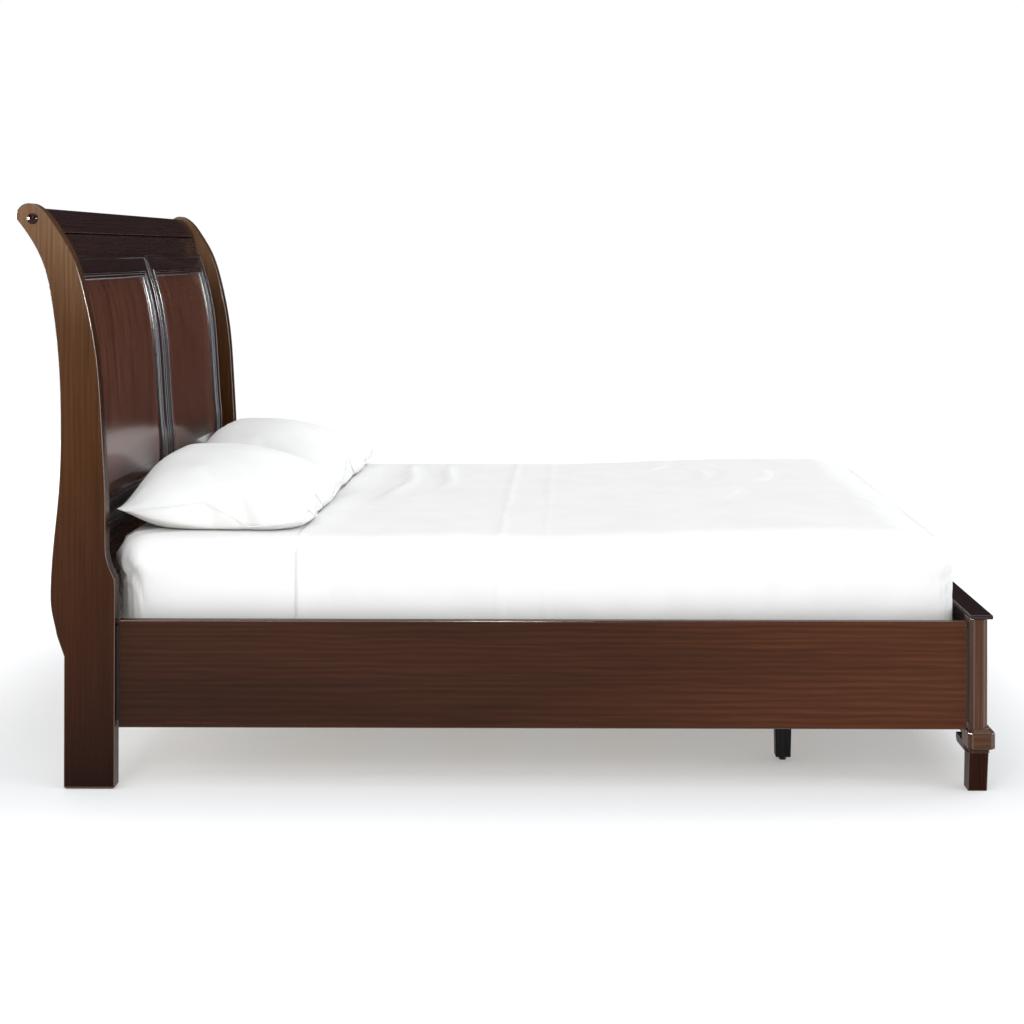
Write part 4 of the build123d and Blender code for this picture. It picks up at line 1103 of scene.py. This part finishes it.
def flat_pillow(seed):
    """Two layers of cloth joined round their edge, ready to be filled."""
    columns = int(PILLOW_DEPTH / PILLOW_CELL)
    rows = int(PILLOW_LENGTH / PILLOW_CELL)
    points, faces, index = [], [], {}
    for layer, sign in ((0, 1), (1, -1)):
        for i in range(columns + 1):
            for j in range(rows + 1):
                on_edge = i in (0, columns) or j in (0, rows)
                if layer == 1 and on_edge:
                    index[1, i, j] = index[0, i, j]
                    continue
                u, v = i / columns, j / rows
                x, y = (u - 0.5) * PILLOW_DEPTH, (v - 0.5) * PILLOW_LENGTH
                height = 0.0
                if not on_edge:
                    height = 0.012 * sign * (min(1, 6 * min(u, 1 - u)) * min(1, 6 * min(v, 1 - v)))
                    height += 0.002 * wander(x, y, 14.0, seed + layer)
                corner = max(0.0, 2 * u - 1) ** 4 * abs(2 * v - 1) ** 4
                x -= EAR_TUCK * corner
                y -= math.copysign(EAR_TUCK * corner, y)
                index[layer, i, j] = len(points)
                points.append((x, y, height))
        for i in range(columns):
            for j in range(rows):
                quad = tuple(index[layer, i + a, j + b] for a, b in ((0, 0), (1, 0), (1, 1), (0, 1)))
                faces.append(quad if layer == 0 else tuple(reversed(quad)))
    return points, faces, index, columns, rows


def fill_pillow(piece):
    """Blow the cloth up with the simulation and keep the result."""
    cloth = piece.modifiers.new("fill", "CLOTH")
    settings = cloth.settings
    settings.quality = 7
    settings.mass = 0.12
    settings.tension_stiffness = settings.compression_stiffness = 22
    settings.shear_stiffness = 6
    settings.bending_stiffness = 0.5
    settings.use_pressure = True
    settings.uniform_pressure_force = PILLOW_PRESSURE
    settings.effector_weights.gravity = 0
    cloth.collision_settings.use_collision = False
    scene = bpy.context.scene
    scene.frame_start, scene.frame_end = 1, PILLOW_FRAMES
    for number in range(1, PILLOW_FRAMES + 1):
        scene.frame_set(number)
    evaluated = piece.evaluated_get(bpy.context.evaluated_depsgraph_get())
    filled = [v.co.copy() for v in evaluated.to_mesh().vertices]
    evaluated.to_mesh_clear()
    piece.modifiers.remove(cloth)
    scene.frame_set(1)
    return filled


def plump(u, v):
    """Thickness of an evenly filled pillow, 0 at the seam and 1 in the middle."""
    return math.sqrt(max(0.0, 1 - abs(u) ** 2.3)) * math.sqrt(max(0.0, 1 - abs(v) ** 3.6))


def grid_place(place, count):
    """Where a line of cloth lies on the filled pillow, -1 to 1: lines crowd together towards the seams."""
    share = 2 * place / count - 1
    return 0.45 * share + 0.55 * math.sin(share * math.pi / 2)


def lay_pillow(filled, index, columns, rows, low, high):
    """Rest a filled pillow on the bed: flat underneath, its head edge up against the headboard."""
    xs, ys, zs = ([p[a] for p in filled] for a in range(3))
    half_x, half_y = (max(xs) - min(xs)) / 2, (max(ys) - min(ys)) / 2
    centre_x, centre_y = (max(xs) + min(xs)) / 2, (max(ys) + min(ys)) / 2
    crown_z = max(zs)
    middle_x, middle_y = (low.x + high.x) / 2, (low.y + high.y) / 2
    floor_z = low.z + PILLOW_GAP
    laid = [None] * len(filled)
    for (_, i, j), spot in index.items():
        p = filled[spot]
        u = grid_place(i, columns) * (1 - SIM_SHARE) + SIM_SHARE * (p.x - centre_x) / half_x
        v = grid_place(j, rows) * (1 - SIM_SHARE) + SIM_SHARE * (p.y - centre_y) / half_y
        corner = abs(u * v) ** 5
        folded = corner if u > 0 > v else 0.0
        raised = corner if u > 0 and v > 0 else 0.0
        side = 1 if p.z >= 0 else -1
        full = plump(min(1, abs(u)), min(1, abs(v))) * (1 - SIM_SHARE) + SIM_SHARE * abs(p.z) / crown_z
        full = full ** (1 + HEAD_WEDGE * max(0.0, -u))
        seam = SEAM_HEIGHT + SEAM_HEAD_RISE * eased(-u, 0.0, 1.0)
        seam = seam + SEAM_CORNER_RISE[0] * corner + SEAM_CORNER_RISE[1] * raised
        x = middle_x + u * (high.x - low.x) / 2
        y = middle_y + v * (high.y - low.y) / 2
        if side > 0:
            z = floor_z + seam + full * PILLOW_TOP
            x -= PILLOW_CREST_SHIFT * full * (1 - 0.5 * u * u)
        else:
            z = floor_z + seam - min(1.0, full * 1.7) * (seam + PILLOW_GAP)
        x -= FOLD_IN[0] * folded
        y += FOLD_IN[1] * folded
        z -= FOOT_SLOPE * full * max(0.0, u) ** 1.5
        corner_reach = math.hypot(1 - abs(u), 1.4 * (1 - abs(v)))
        fan = math.atan2(1 - abs(u) + 0.01, 1.4 * (1 - abs(v)) + 0.01)
        wrinkle = CORNER_WRINKLE * ridge(corner_reach - 0.20, 0.20) * math.sin(17 * fan + 2 * u)
        z += side * wrinkle * min(1, 3 * full)
        laid[spot] = Vector((x, y, max(z, floor_z)))
    return laid


def make_pillows():
    """Two pillows in plain cotton cases."""
    cotton = fabric("pillowcase_cotton", (0.828, 0.819, 0.802))
    for side, seed in (("left", 3.0), ("right", 9.0)):
        points, faces, index, columns, rows = flat_pillow(seed)
        piece = add_piece(f"pillow_in_case_{side}", points, faces, [cotton])
        filled = fill_pillow(piece)
        low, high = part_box(f"pillow_{side}")
        laid = lay_pillow(filled, index, columns, rows, low, high)
        for vertex, spot in zip(piece.data.vertices, laid):
            vertex.co = spot
        clean_mesh(piece)
        fine = piece.modifiers.new("smooth", "SUBSURF")
        fine.levels = fine.render_levels = 1
        ring = [laid[index[0, i, j]] for i, j in grid_border(columns, rows)]
        count = len(ring)
        ring = [sum((ring[(k + step) % count] for step in range(-3, 4)), Vector()) / 7
                for k in range(count)]
        seam = cord(f"pillow_seam_{side}", ring, SEAM_RADIUS, cotton)
        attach(seam, f"pillow_{side}")
        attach(piece, f"pillow_{side}")
        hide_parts(f"pillow_{side}")


make_camera()
make_studio()
dress_wood()
dress_hidden_wood()
dress_hardware()
make_headboard_details()
make_bed_base()
make_sheets()
make_pillows()
